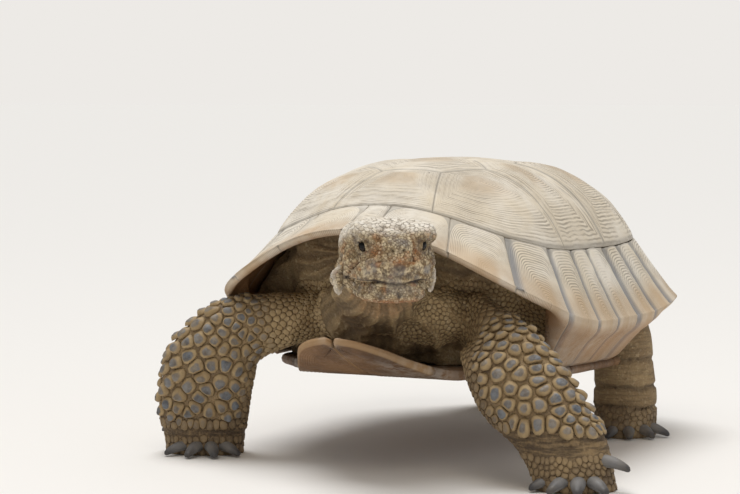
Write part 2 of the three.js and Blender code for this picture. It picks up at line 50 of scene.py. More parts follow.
# ---- where things are: the body's frame against the CAD frame
headForm = {
    "centre": (59.5, -160, 107), "turn": deg(35), "nod": deg(1), "blend": 1.1,
    # rounded boxes that the head's surface blends: centre, half sizes and squareness
    "boxes": [
        ((0, 7, 4.5), (21.2, 20, 14.6), 3), ((0, -9, -3), (17.6, 16, 8.6), 2.6),
        ((0, -8, 6), (12, 16.5, 8.6), 2.4), ((0, -18.5, 6.5), (7.4, 7, 6.6), 2.2),
        ((0, -6, -12.5), (17.4, 18.5, 7), 2.6), ((0, 10, -8), (18, 16, 9), 2.4),
        ((13, -6, 13.2), (7.6, 9.5, 4.6), 2.2), ((-13, -6, 13.2), (7.6, 9.5, 4.6), 2.2),
        ((21.2, 8, -9), (2.6, 5.5, 6.6), 2), ((-21.2, 8, -9), (2.6, 5.5, 6.6), 2),
    ],
}
eyeForm = {"place": (11.8, -9.6, 7.6), "radius": 4.3, "gaze": (0.69, -0.72, 0.03), "segments": 48}


def turned(points, axis, angle):
    p = np.array(points, float)
    a, b = {"x": (1, 2), "y": (2, 0), "z": (0, 1)}[axis]
    c, s = math.cos(angle), math.sin(angle)
    first, second = p[..., a].copy(), p[..., b].copy()
    p[..., a] = first * c - second * s
    p[..., b] = first * s + second * c
    return p


def headToBody(points):
    p = turned(turned(points, "x", headForm["nod"]), "z", headForm["turn"])
    return p + np.array(headForm["centre"])


def bodyToHead(points):
    p = turned(np.asarray(points, float) - np.array(headForm["centre"]), "z", -headForm["turn"])
    return turned(p, "x", -headForm["nod"])


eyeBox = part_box("eye_left")
bodyShift = np.array((eyeBox[0] + eyeBox[1]) / 2) * 1000 - headToBody(eyeForm["place"])


def toRow(points):
    return (np.asarray(points, float) + bodyShift) / 1000


def toBody(points):
    return np.asarray(points, float) * 1000 - bodyShift


# ---- camera, floor and light
stageLook = {
    "azimuth": 24.4, "pitch": 3.615, "place": (506.2, -1164.7, 182.3), "lens": 116.3,
    "floorSize": 90, "floorColour": "#efedea", "worldColour": "#f4f2ee", "worldStrength": 0.4, "backdropColour": "#edeae6", "backdrop": 1.0,
    "lights": [  # kind, place, size (a sun's in degrees), power, colour
        ("keyLight", "AREA", (0.35, -0.95, 1.35), 0.9, 3.6, "#fff3e2"),
        ("topLight", "SUN", (-0.3, 0.2, 1.5), 40, 2.1, "#ffffff"),
        ("fillLight", "AREA", (1.5, -0.5, 0.6), 1.2, 1.6, "#eef3ff"),
    ],
}


def paint(code):
    channels = [int(code[k:k + 2], 16) / 255 for k in (1, 3, 5)]
    return tuple(c / 12.92 if c <= 0.04045 else ((c + 0.055) / 1.055) ** 2.4 for c in channels) + (1.0,)


def clearSelection():
    if bpy.context.object and bpy.context.object.mode != "OBJECT":
        bpy.ops.object.mode_set(mode="OBJECT")
    bpy.ops.object.select_all(action="DESELECT")


def aimed(obj, at):
    obj.rotation_mode = "QUATERNION"
    obj.rotation_quaternion = (Vector(at) - obj.location).to_track_quat("-Z", "Y")


def setStage():
    clearSelection()
    place = Vector(toRow(stageLook["place"]))
    across, down = deg(stageLook["azimuth"]), deg(stageLook["pitch"])
    ahead = Vector((-math.sin(across) * math.cos(down), math.cos(across) * math.cos(down), -math.sin(down)))
    bpy.ops.object.camera_add(location=place)
    camera = bpy.context.object
    camera.name = "camera"
    camera.data.lens = stageLook["lens"]
    camera.data.clip_start, camera.data.clip_end = 0.05, 60
    aimed(camera, place + ahead)
    bpy.context.scene.camera = camera
    bpy.ops.mesh.primitive_plane_add(size=stageLook["floorSize"], location=(0, 0, 0))
    floor = bpy.context.object
    floor.name = "floor"
    floor.data.materials.append(plainMaterial("floorPaint", stageLook["floorColour"], 0.9))
    for name, kind, at, size, power, colour in stageLook["lights"]:
        bpy.ops.object.light_add(type=kind, location=at)
        light = bpy.context.object
        light.name = name
        if kind == "SUN":
            light.data.angle = deg(size)
        else:
            light.data.shape = "DISK"
            light.data.size = size
        light.data.energy = power
        light.data.color = paint(colour)[:3]
        aimed(light, (0, 0, 0.06))
    world = bpy.data.worlds.new("studio")
    world.use_nodes = True
    tree = world.node_tree
    lighting = tree.nodes["Background"]
    backdrop, join = tree.nodes.new("ShaderNodeBackground"), tree.nodes.new("ShaderNodeMixShader")
    for node, colour, strength in ((lighting, "worldColour", "worldStrength"), (backdrop, "backdropColour", "backdrop")):
        node.inputs["Color"].default_value = paint(stageLook[colour])
        node.inputs["Strength"].default_value = stageLook[strength]
    tree.links.new(tree.nodes.new("ShaderNodeLightPath").outputs["Is Camera Ray"], join.inputs[0])
    tree.links.new(lighting.outputs[0], join.inputs[1])
    tree.links.new(backdrop.outputs[0], join.inputs[2])
    tree.links.new(join.outputs[0], tree.nodes["World Output"].inputs["Surface"])
    bpy.context.scene.world = world
    bpy.context.scene.view_settings.view_transform = "Standard"
    print("stage set")


# ---- material helpers
def newTree(name):
    material = bpy.data.materials.new(name)
    material.use_nodes = True
    tree = material.node_tree
    tree.nodes.clear()
    shader = tree.nodes.new("ShaderNodeBsdfPrincipled")
    out = tree.nodes.new("ShaderNodeOutputMaterial")
    tree.links.new(shader.outputs["BSDF"], out.inputs["Surface"])
    return material, tree, shader


def plainMaterial(name, colour, roughness):
    material, tree, shader = newTree(name)
    shader.inputs["Base Color"].default_value = paint(colour)
    shader.inputs["Roughness"].default_value = roughness
    return material


def feed(tree, socket, value):
    if isinstance(value, bpy.types.NodeSocket):
        tree.links.new(value, socket)
    elif isinstance(value, str):
        socket.default_value = paint(value)
    elif value is not None:
        socket.default_value = value


def attribute(tree, name):
    node = tree.nodes.new("ShaderNodeAttribute")
    node.attribute_name = name
    return node.outputs["Fac"]


def objectPlace(tree):
    return tree.nodes.new("ShaderNodeTexCoord").outputs["Object"]


def noiseOf(tree, place, scale, detail=3.0, roughness=0.55, distortion=0.0):
    node = tree.nodes.new("ShaderNodeTexNoise")
    feed(tree, node.inputs["Vector"], place)
    node.inputs["Scale"].default_value = scale
    node.inputs["Detail"].default_value = detail
    node.inputs["Roughness"].default_value = roughness
    node.inputs["Distortion"].default_value = distortion
    return node.outputs["Fac"]


def cellsOf(tree, place, scale, feature="F1", randomness=1.0):
    node = tree.nodes.new("ShaderNodeTexVoronoi")
    node.feature = feature
    feed(tree, node.inputs["Vector"], place)
    node.inputs["Scale"].default_value = scale
    node.inputs["Randomness"].default_value = randomness
    return node.outputs["Distance"]


def maths(tree, operation, a, b=None, clamp=False):
    node = tree.nodes.new("ShaderNodeMath")
    node.operation = operation
    node.use_clamp = clamp
    feed(tree, node.inputs[0], a)
    if b is not None:
        feed(tree, node.inputs[1], b)
    return node.outputs[0]


def spread(tree, value, low, high, toLow=0.0, toHigh=1.0):
    node = tree.nodes.new("ShaderNodeMapRange")
    node.interpolation_type = "SMOOTHSTEP"
    feed(tree, node.inputs["Value"], value)
    for label, number in (("From Min", low), ("From Max", high), ("To Min", toLow), ("To Max", toHigh)):
        feed(tree, node.inputs[label], number)
    return node.outputs["Result"]


def blendColour(tree, share, a, b, kind="MIX"):
    node = tree.nodes.new("ShaderNodeMix")
    node.data_type = "RGBA"
    node.blend_type = kind
    feed(tree, node.inputs[0], share)
    feed(tree, node.inputs[6], a)
    feed(tree, node.inputs[7], b)
    return node.outputs[2]


def bumpOf(tree, height, distance, strength=1.0, normal=None):
    node = tree.nodes.new("ShaderNodeBump")
    node.inputs["Strength"].default_value = strength
    node.inputs["Distance"].default_value = distance
    feed(tree, node.inputs["Height"], height)
    if normal is not None:
        feed(tree, node.inputs["Normal"], normal)
    return node.outputs["Normal"]


def newGroup(name, takes, gives):
    group = bpy.data.node_groups.new(name, "ShaderNodeTree")
    for label, kind in takes:
        group.interface.new_socket(label, in_out="INPUT", socket_type="NodeSocket" + kind)
    for label, kind in gives:
        group.interface.new_socket(label, in_out="OUTPUT", socket_type="NodeSocket" + kind)
    return group, group.nodes.new("NodeGroupInput"), group.nodes.new("NodeGroupOutput")


def useGroup(tree, group, **values):
    node = tree.nodes.new("ShaderNodeGroup")
    node.node_tree = group
    for label, value in values.items():
        feed(tree, node.inputs[label], value)
    return node


def flattened(tree, vector, stretch):
    node = tree.nodes.new("ShaderNodeMapping")
    node.inputs["Scale"].default_value = stretch
    tree.links.new(vector, node.inputs["Vector"])
    return node.outputs["Vector"]


# ---- mesh helpers
def smoothstep(x, low, high):
    t = np.clip((np.asarray(x, float) - low) / (high - low), 0, 1)
    return t * t * (3 - 2 * t)


def mix(a, b, t):
    return a + (b - a) * t


def signedPower(x, e):
    return np.sign(x) * np.abs(x) ** e


def grain(points, size, seed=0):
    # smooth random values from -1 to 1 over space, one lump in about each size
    p = np.asarray(points, float) / size + 311.7
    cell = np.floor(p).astype(np.int64)
    f = p - cell
    f = f * f * (3 - 2 * f)
    total = np.zeros(p.shape[:-1])
    for corner in range(8):
        bits = np.array([corner & 1, corner >> 1 & 1, corner >> 2 & 1])
        c = cell + bits
        h = (c[..., 0] * 73856093) ^ (c[..., 1] * 19349663) ^ (c[..., 2] * 83492791) ^ (seed * 2654435761)
        h = (h ^ (h >> 13)) * 1274126177 & 0x7FFFFFFF
        value = (h ^ (h >> 16)) % 65536 / 32767.5 - 1
        weight = np.prod(np.where(bits, f, 1 - f), axis=-1)
        total += value * weight
    return total


def getPoints(obj):
    flat = np.empty(len(obj.data.vertices) * 3)
    obj.data.vertices.foreach_get("co", flat)
    return flat.reshape(-1, 3)


def setPoints(obj, points):
    obj.data.vertices.foreach_set("co", np.ascontiguousarray(points, float).ravel())
    obj.data.update()


def getNormals(obj):
    flat = np.empty(len(obj.data.vertices) * 3)
    obj.data.vertices.foreach_get("normal", flat)
    return flat.reshape(-1, 3)


def setAttribute(obj, name, values):
    layer = obj.data.attributes.get(name) or obj.data.attributes.new(name, "FLOAT", "POINT")
    layer.data.foreach_set("value", np.ascontiguousarray(values, np.float32))


def facesOut(obj):
    mesh = obj.data
    mesh.calc_loop_triangles()
    tris = np.empty(len(mesh.loop_triangles) * 3, np.int64)
    mesh.loop_triangles.foreach_get("vertices", tris)
    a, b, c = (getPoints(obj)[tris.reshape(-1, 3)[:, k]] for k in range(3))
    if np.einsum("ij,ij->i", a, np.cross(b, c)).sum() < 0:
        mesh.flip_normals()


def closedForm(name, columns, rows, place):
    # a sphere's grid, each point set by its column and its row from the first pole to the last
    clearSelection()
    bpy.ops.mesh.primitive_uv_sphere_add(segments=columns, ring_count=rows, radius=1)
    obj = bpy.context.object
    obj.name = name
    obj.data.name = name
    p = getPoints(obj)
    row = np.rint(np.arccos(np.clip(p[:, 2], -1, 1)) / math.pi * rows).astype(int)
    col = np.rint(np.arctan2(p[:, 1], p[:, 0]) / (2 * math.pi) * columns).astype(int) % columns
    setPoints(obj, place(col, row))
    facesOut(obj)
    obj.data.shade_smooth()
    while obj.data.uv_layers:
        obj.data.uv_layers.remove(obj.data.uv_layers[0])
    return obj, col, row


def finishPiece(obj, material, slotName, *nodes):
    obj.data.materials.clear()
    obj.data.materials.append(material)
    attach(obj, "root")
    if nodes:
        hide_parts(*nodes)


# ---- the shell's surface, in its own frame
shellForm = {
    "halfWidth": 97, "frontReach": 130.5, "rearReach": 138, "top": 108,
    "frontRim": 72.5, "sideRim": 28, "rearRim": 31, "sideFullness": 0.86, "endFullness": 0.6,
    "frontRise": 2.7, "seam": 0.79, "apexBack": 2, "plate": 3.6, "lip": 3, "skirtCurve": 1.1,
    "flareFront": (deg(54), deg(20), 7.5, 2), "flareRear": (deg(118), deg(22), 6.5, 8),
    "profileSide": (3.3, 0.88, 0.44), "profileFront": (2.7, 0.85, 0.33), "profileRear": (4, 0.95, 0.42),
    "stance": (27.8, 0, 41.2), "roll": deg(0.4), "pitch": deg(-2.2), "gap": 0.05,
}
bridgeForm = {"from": deg(61), "to": deg(98), "blend": deg(5), "inset": 0.19, "floor": 5.4}


def rim(angle):
    f = shellForm
    s, c = np.sin(angle), np.cos(angle)
    front, rear = np.maximum(c, 0), np.maximum(-c, 0)
    x = f["halfWidth"] * signedPower(s, f["sideFullness"])
    y = -np.where(c > 0, f["frontReach"], f["rearReach"]) * signedPower(c, f["endFullness"])
    z = f["sideRim"] + (f["frontRim"] - f["sideRim"]) * front ** f["frontRise"]
    z = z + (f["rearRim"] - f["sideRim"]) * rear ** 2
    stretch = np.ones_like(x)
    for at, wide, out, up in (f["flareFront"], f["flareRear"]):
        flare = np.exp(-((np.abs(angle) - at) / wide) ** 2)
        stretch = stretch + out * flare / np.hypot(x, y)
        z = z + up * flare
    return np.stack([x * stretch, y * stretch, z], -1)


def dome(p, q):
    # p to the left and q to the rear, on a unit disc seen from above
    f = shellForm
    p, q = np.asarray(p, float), np.asarray(q, float)
    out = np.clip(np.hypot(p, q), 0, 1)
    angle = np.arctan2(p, -q)
    edge = rim(angle)
    front, rear = np.maximum(np.cos(angle), 0) ** 2, np.maximum(-np.cos(angle), 0) ** 2
    side = f["profileSide"]
    roundness, steep, seamRise = (side[k] + (f["profileFront"][k] - side[k]) * front
                                  + (f["profileRear"][k] - side[k]) * rear for k in range(3))
    inner = 1 - np.clip(out / f["seam"], 0, 1) ** roundness
    skirt = np.clip((1 - out) / (1 - f["seam"]), 0, 1) ** f["skirtCurve"]
    rise = np.where(out < f["seam"], seamRise + (1 - seamRise) * inner ** steep, seamRise * skirt)
    return np.stack([edge[..., 0] * out, f["apexBack"] + (edge[..., 1] - f["apexBack"]) * out,
                     edge[..., 2] + (f["top"] - edge[..., 2]) * rise], -1)


def under(p, q, depth):
    step = 0.01
    size = np.hypot(p, q)
    k = np.where(size > 1 - step, (1 - step) / np.maximum(size, step), 1)
    along = dome(p * k + step, q * k) - dome(p * k - step, q * k)
    across = dome(p * k, q * k + step) - dome(p * k, q * k - step)
    out = np.cross(along, across)
    out /= np.linalg.norm(out, axis=-1, keepdims=True)
    return dome(p, q) - out * np.asarray(depth, float)[..., None]


def toStance(points):
    p = turned(turned(points, "y", shellForm["roll"]), "x", shellForm["pitch"])
    return toRow(p + np.array(shellForm["stance"]))


def onSeam(degrees):
    return (shellForm["seam"] * math.sin(deg(degrees)), -shellForm["seam"] * math.cos(deg(degrees)))


seams = {
    "firstFront": onSeam(17), "firstRear": (0.139, -0.502), "secondSide": (0.309, -0.298),
    "secondRear": (0.15, -0.15), "thirdSide": (0.3, 0), "thirdRear": (0.15, 0.145),
    "fourthSide": (0.29, 0.275), "fourthRear": (0.14, 0.41), "costalFirst": onSeam(75),
    "costalSecond": onSeam(91), "costalThird": onSeam(108), "fifthRear": onSeam(150),
}
marginalSeams = [3, 24, 45, 64, 78, 86.4, 90.2, 95, 104, 121, 143, 167]


def outlineOf(corners, perSide):
    points = []
    for k, a in enumerate(corners):
        b = corners[(k + 1) % len(corners)]
        onCurve = all(abs(math.hypot(*c) - shellForm["seam"]) < 1e-6 for c in (a, b))
        start = math.atan2(a[0], -a[1])
        turn = math.atan2(b[0], -b[1]) - start
        turn = (turn + math.pi) % (2 * math.pi) - math.pi
        steps = perSide * (2 if onCurve else 1)
        for n in range(steps):
            t = n / steps
            if onCurve:
                angle = start + turn * t
                points.append((shellForm["seam"] * math.sin(angle), -shellForm["seam"] * math.cos(angle)))
            else:
                points.append((mix(a[0], b[0], t), mix(a[1], b[1], t)))
    return np.array(points)


# ---- plates of the dome, with growth rings round an off-centre areola
domePlate = {
    "perSide": 18, "rings": 13, "areola": 0.34, "ringDepth": 0.34, "boss": 0.95, "valley": 0.26,
    "crowding": 0.82, "samples": (0.0, 0.16, 0.5, 0.84),
}


def ringRows(look):
    # each row: its share of the way to the seam, its height over the plate, and whether it can ripple
    shares, heights, ripple = [], [], []
    for share in np.linspace(0, look["areola"], 6)[:-1]:
        shares.append(share), heights.append(0.12), ripple.append(0.0)
    for k in range(look["rings"]):
        for phase in look["samples"]:
            t = (k + phase) / look["rings"]
            shares.append(mix(look["areola"], 0.952, t ** look["crowding"]))
            crest = 1 - abs(2 * phase - 1) ** 3
            heights.append(look["ringDepth"] * (crest - 0.6) * (0.45 + 0.55 * min(1, 3 * t)))
            ripple.append(1.0)
    for share, drop in ((0.962, 0.15), (0.978, 0.45), (0.99, 0.8), (1.0, 1.05)):
        shares.append(share), heights.append(-look["valley"] * drop), ripple.append(0.0)
    return np.array(shares), np.array(heights), np.array(ripple)


def domeScute(name, corners, areola, material, seed):
    look = domePlate
    edge = outlineOf(corners, look["perSide"])
    middle = np.mean(np.array(corners), axis=0)
    heart = middle + (np.array(areola) - middle)
    shares, heights, ripple = ringRows(look)
    underRows = [(1.0, 1.9), (1.0, 3.6), (0.5, 3.6), (0.0, 3.6)]
    topCount = len(shares)
    rows = topCount + len(underRows) - 1
    allShares = np.concatenate([shares, [s for s, _ in underRows]])

    def place(col, row):
        way = edge[col] - heart
        size = np.hypot(way[:, 0], way[:, 1])
        onTop = row < topCount
        share = allShares[row]
        safe = np.minimum(row, topCount - 1)
        angle = 2 * math.pi * col / len(edge)
        spot = np.stack([np.cos(angle) * 2, np.sin(angle) * 2, share * 7 + seed], -1)
        wobble = 0.006 * grain(spot, 0.5, seed) * ripple[safe] * onTop
        reach = (share + wobble) * (size - shellForm["gap"] / shellForm["halfWidth"]) / size
        p, q = heart[0] + way[:, 0] * reach, heart[1] + way[:, 1] * reach
        strength = np.where(ripple[safe] > 0, 0.72 + 0.5 * grain(spot, 0.9, seed + 5), 1)
        height = heights[safe] * strength
        height = height + look["boss"] * (1 - smoothstep(share, 0.25, 1.0))
        place3 = under(p, q, np.zeros_like(p))
        height = height + 0.16 * grain(place3, 9, seed) + 0.05 * grain(place3, 2.2, seed)
        depth = np.where(onTop, -height, np.array([0.0] * topCount + [d for _, d in underRows])[row])
        return toStance(under(p, q, depth))

    obj, col, row = closedForm("plate_" + name, len(edge), rows, place)
    setAttribute(obj, "share", allShares[row])
    setAttribute(obj, "top", (row < topCount).astype(float))
    setAttribute(obj, "tone", np.full(len(row), (seed * 0.37) % 1))
    finishPiece(obj, material, "shell_plate", name)
    return obj


def mirrored(c):
    return (-c[0], c[1])


def buildDome(material):
    s = seams
    flip = [mirrored(s[k]) for k in ("secondRear", "secondSide", "firstRear")]
    vertebrals = [
        ([s["firstFront"], s["firstRear"], mirrored(s["firstRear"]), mirrored(s["firstFront"])], (0, -0.6)),
        ([s["firstRear"], s["secondSide"], s["secondRear"], *flip], (0, -0.29)),
        ([s["secondRear"], s["thirdSide"], s["thirdRear"],
          *[mirrored(s[k]) for k in ("thirdRear", "thirdSide", "secondRear")]], (0, 0.02)),
        ([s["thirdRear"], s["fourthSide"], s["fourthRear"],
          *[mirrored(s[k]) for k in ("fourthRear", "fourthSide", "thirdRear")]], (0, 0.3)),
        ([s["fourthRear"], s["fifthRear"], mirrored(s["fifthRear"]), mirrored(s["fourthRear"])], (0, 0.56)),
    ]
    costals = [
        ([s["firstFront"], s["costalFirst"], s["secondSide"], s["firstRear"]], (0.335, -0.47)),
        ([s["costalFirst"], s["costalSecond"], s["thirdSide"], s["secondRear"], s["secondSide"]],
         (0.425, -0.115)),
        ([s["costalSecond"], s["costalThird"], s["fourthSide"], s["thirdRear"], s["thirdSide"]],
         (0.42, 0.14)),
        ([s["costalThird"], s["fifthRear"], s["fourthRear"], s["fourthSide"]], (0.375, 0.4)),
    ]
    for k, (corners, areola) in enumerate(vertebrals):
        domeScute(f"vertebral_{k + 1}", corners, areola, material, 3 + k)
    for side, label in ((1, "left"), (-1, "right")):
        for k, (corners, areola) in enumerate(costals):
            shape = [(side * c[0], c[1]) for c in corners]
            domeScute(f"costal_{k + 1}_{label}", shape, (side * areola[0], areola[1]), material, 11 + k + 5 * side)
    print("dome plates built")


# ---- plates of the rim
rimPlate = {
    "skirt": 46, "below": 16, "inside": 6, "steps": 30, "rings": 9, "ringDepth": 0.34,
    "areola": (0.62, 0.97), "smoothShare": 0.42, "groove": 0.7, "grooveShare": 0.13,
    "edgeDrops": (0.5, 0.26, 0.08),
}
section = {
    "middle": 0.9, "nearEdge": 0.985, "underLip": 0.975, "wall": 0.035, "keelDrop": 6,
    "keelInside": 0.925, "bulge": 0.01, "hub": 0.55, "lip": (0, 0.2, 0.35, 0.5, 0.675, 0.85),
}


def bridgeShare(angle):
    a = np.abs(angle)
    b = bridgeForm
    enter = smoothstep(a, b["from"] - b["blend"], b["from"] + b["blend"])
    return enter * (1 - smoothstep(a, b["to"] - b["blend"], b["to"] + b["blend"]))


def catmull(points, t):
    # a smooth line through points of shape (n, ..., 3) at shares t
    n = len(points) - 1
    at = np.clip(np.asarray(t, float), 0, 1) * n
    k = np.minimum(at.astype(int), n - 1)
    f = (at - k).reshape((-1,) + (1,) * (points.ndim - 1))
    a, b = points[k], points[k + 1]
    before = np.where((k == 0).reshape(f.shape), 2 * points[0] - points[1], points[np.maximum(k - 1, 0)])
    after = np.where((k == n - 1).reshape(f.shape), 2 * points[n] - points[n - 1], points[np.minimum(k + 2, n)])
    ta, tb = (b - before) / 2, (after - a) / 2
    f2, f3 = f * f, f ** 3
    return (2 * f3 - 3 * f2 + 1) * a + (f3 - 2 * f2 + f) * ta + (-2 * f3 + 3 * f2) * b + (f3 - f2) * tb


def rimSection(angle):
    # one cut at an angle: outer line from the seam to the edge, the way back below, and the inside
    f, b, look = shellForm, bridgeForm, rimPlate
    edge = rim(np.array(angle))

    def at(out, z):
        return np.array([edge[0] * out, edge[1] * out, z])

    def onDome(outs, depth):
        outs = np.asarray(outs, float)
        return under(outs * math.sin(angle), -outs * math.cos(angle), np.full(outs.shape, float(depth)))

    seam = f["seam"] + f["gap"] / 2 / f["halfWidth"]
    skirtOuts = seam + (1 - seam) * np.linspace(0, 1, look["skirt"]) ** 0.85
    skirt = onDome(skirtOuts[:-1], 0)
    tip = at(1, edge[2])
    inner = onDome([section["middle"], seam], f["plate"])
    lip = at(section["underLip"], edge[2] - f["lip"])
    foot = 1 - b["inset"]
    half = ((1 + foot) / 2, (edge[2] + b["floor"]) / 2)
    onBridge = [
        at(section["nearEdge"], edge[2] - section["keelDrop"]), at(half[0] + section["bulge"], half[1]),
        at(foot, b["floor"]), at(foot - section["wall"], b["floor"] + f["plate"]),
        at(half[0] - section["wall"], half[1] + f["plate"]), at(section["keelInside"], edge[2]),
    ]
    share = float(bridgeShare(np.array(angle)))
    below = [mix(mix(lip, inner[0], t), v, share) for t, v in zip(section["lip"], onBridge)]
    line = catmull(np.array([tip, *below, inner[0]]), np.linspace(0, 1, look["below"]))
    inside = np.array([mix(inner[0], inner[1], t) for t in np.linspace(0, 1, look["inside"] + 1)[1:]])
    hub = mix(tip, below[-1], section["hub"])
    return skirt, line, inside, hub


def rimScute(name, fromAngle, toAngle, material, seed, onSide):
    look = rimPlate
    step = deg(0.1)

    def trim(a):
        per = np.linalg.norm(rim(np.array(a + step)) - rim(np.array(a - step))) / (2 * step)
        return shellForm["gap"] / 2 / per, per

    (first, perFirst), (last, perLast) = trim(fromAngle), trim(toAngle)
    a0, a1 = fromAngle + first, toAngle - last
    length = (perFirst + perLast) / 2 * (a1 - a0)
    ends = np.array([0.0, 0.3, 0.9, 1.8]) / length  # rows close to each end for the rounded edge
    inner = np.linspace(ends[-1], 1 - ends[-1], look["steps"])[1:-1]
    shares = np.concatenate([ends, inner, 1 - ends[::-1]])
    drops = np.concatenate([look["edgeDrops"], np.zeros(len(shares) - 6), look["edgeDrops"][::-1]])
    cuts = [rimSection(a) for a in mix(a0, a1, shares)]
    rings = np.array([np.concatenate([c[0], c[1], c[2]]) for c in cuts])
    count = rings.shape[1]
    skirtCount = look["skirt"] - 1
    # b runs from the seam down to the edge, a along the plate towards the tail
    travel = np.linalg.norm(np.diff(rings[len(rings) // 2, :skirtCount + 1], axis=0), axis=1).cumsum()
    b = np.concatenate([[0], travel / travel[-1], np.ones(count - skirtCount - 1)])
    mirrorSide = fromAngle + toAngle < 0
    a = 1 - shares if mirrorSide else shares
    if name in ("nuchal", "supracaudal"):
        heart = (0.5, look["areola"][1])
    else:
        heart = look["areola"]
    alongA, alongB = np.meshgrid(a, b, indexing="ij")
    sideA = np.where(alongA < heart[0], (heart[0] - alongA) / heart[0], (alongA - heart[0]) / (1 - heart[0]))
    upB = np.clip((heart[1] - alongB) / heart[1], 0, 1)
    ring = (sideA ** 5 + upB ** 5) ** 0.2
    wobble = 0.02 * grain(np.stack([alongA * 3, alongB * 3, np.full_like(alongA, seed)], -1), 0.6, seed)
    phase = np.clip(ring + wobble, 0, 1)
    wave = ((phase - look["smoothShare"]) / (1 - look["smoothShare"])) * look["rings"]
    crest = 1 - np.abs(2 * (wave % 1) - 1) ** 3
    upper = smoothstep(upB, 0.28, 0.5)
    height = look["ringDepth"] * (crest - 0.6) * (wave > 0) * mix(0.35, 1.0, upper)
    seamEdge = np.interp(alongB, [0, 0.012, 0.03, 0.06], [0.16, 0.1, 0.04, 0])
    height = height * (1 - np.clip(seamEdge * 2, 0, 1)) - seamEdge
    if onSide:
        groove = 1 - smoothstep(alongA, look["grooveShare"] * 0.7, look["grooveShare"] * 1.25)
        height = height * (1 - groove) - look["groove"] * groove
        height = height + 0.25 * np.exp(-((alongA - 0.6) / 0.3) ** 2) * (1 - seamEdge.clip(0, 1))
    height = height - 0.2 + 0.12 * grain(rings, 6, seed)
    onTop = np.arange(count) <= skirtCount
    height = height * onTop[None, :]
    before, after = np.roll(rings, 1, axis=1), np.roll(rings, -1, axis=1)
    alongRow = np.gradient(rings, axis=0)
    out = np.cross(after - before, alongRow)
    out /= np.linalg.norm(out, axis=-1, keepdims=True) + 1e-9
    middlePoint = rings.mean(axis=(0, 1))
    if np.einsum("ijk,ijk->ij", out, rings - middlePoint).mean() < 0:
        out = -out
    rings = rings + out * (height - drops[:, None])[..., None] * mix(0.55, 1.0, onTop)[None, :, None]
    hubs = [cuts[0][3], cuts[-1][3]]

    def place(col, row):
        points = np.empty((len(col), 3))
        points[row == 0] = hubs[0]
        points[row == len(rings) + 1] = hubs[1]
        body = (row > 0) & (row <= len(rings))
        points[body] = rings[row[body] - 1, col[body]]
        return toStance(points)

    obj, col, row = closedForm("plate_" + name, count, len(rings) + 1, place)
    r = np.clip(row - 1, 0, len(rings) - 1)
    setAttribute(obj, "share", np.clip(ring[r, col], 0, 1))
    setAttribute(obj, "upward", upB[r, col] * onTop[col])
    # the lip stays pale, and the keel's side keeps the upper side's colours
    keelShare = bridgeShare(mix(a0, a1, shares))[r] * (col < skirtCount + look["below"] * 0.55)
    lip = 1 - smoothstep(col - skirtCount, 0.5, 3.5)
    lit = np.maximum(lip, 0.36 * keelShare)
    grooveReach = np.maximum(onTop[col], keelShare)
    setAttribute(obj, "groove", (1 - smoothstep(alongA[r, col], 0.08, 0.2)) * grooveReach if onSide
                 else np.zeros(len(col)))
    setAttribute(obj, "top", np.maximum(onTop[col], lit))
    setAttribute(obj, "tone", np.full(len(col), (seed * 0.61) % 1))
    finishPiece(obj, material, "shell_plate", name)
    return obj


def buildRim(material):
    first, tail = deg(marginalSeams[0]), deg(marginalSeams[-1])
    rimScute("nuchal", -first, first, material, 1, False)
    rimScute("supracaudal", tail, 2 * math.pi - tail, material, 2, False)
    for k in range(len(marginalSeams) - 1):
        a, b = deg(marginalSeams[k]), deg(marginalSeams[k + 1])
        rimScute(f"marginal_{k + 1}_left", a, b, material, 20 + k, k > 1)
        rimScute(f"marginal_{k + 1}_right", -b, -a, material, 40 + k, k > 1)
    print("rim plates built")


# ---- plates of the belly
bellyForm = {
    "thickness": 5, "halfWidth": 76.5, "shoulderWidth": 44, "throatWidth": 17, "throatTip": -157,
    "notchDepth": 4.5, "shoulderFrom": -100, "bridgeFront": -50, "bridgeRear": 50, "thighWidth": 56,
    "thighFrom": 76, "tailTip": 116, "tailWidth": 27, "tailNotch": 15, "throatLift": 19,
    "seams": (-116, -76, -34, 34, 72), "perSide": 16,
}


def bellyHalfWidth(y):
    b = bellyForm
    y = np.asarray(y, float)
    t = np.clip((b["shoulderFrom"] - y) / (b["shoulderFrom"] - b["throatTip"]), 0, 1)
    throat = mix(b["shoulderWidth"], b["throatWidth"], t) * np.sqrt(1 - np.maximum(0, (t - 0.66) / 0.34) ** 2.4 * 0.97)
    shoulder = mix(b["shoulderWidth"], b["halfWidth"], smoothstep(y, b["shoulderFrom"], b["bridgeFront"]))
    thigh = mix(b["halfWidth"], b["thighWidth"], smoothstep(y, b["bridgeRear"], b["thighFrom"]))
    t = np.clip((y - b["thighFrom"]) / (b["tailTip"] - b["thighFrom"]), 0, 1)
    tail = mix(b["thighWidth"], b["tailWidth"], t ** 1.4) * np.sqrt(1 - np.maximum(0, (t - 0.8) / 0.2) ** 2 * 0.9)
    return np.where(y < b["shoulderFrom"], throat, np.where(y < b["bridgeFront"], shoulder,
                    np.where(y < b["thighFrom"], thigh, tail)))


def bellyLift(y):
    b = bellyForm
    t = np.clip((b["shoulderFrom"] - y) / (b["shoulderFrom"] - b["throatTip"]), 0, 1)
    return b["throatLift"] * t ** 1.5


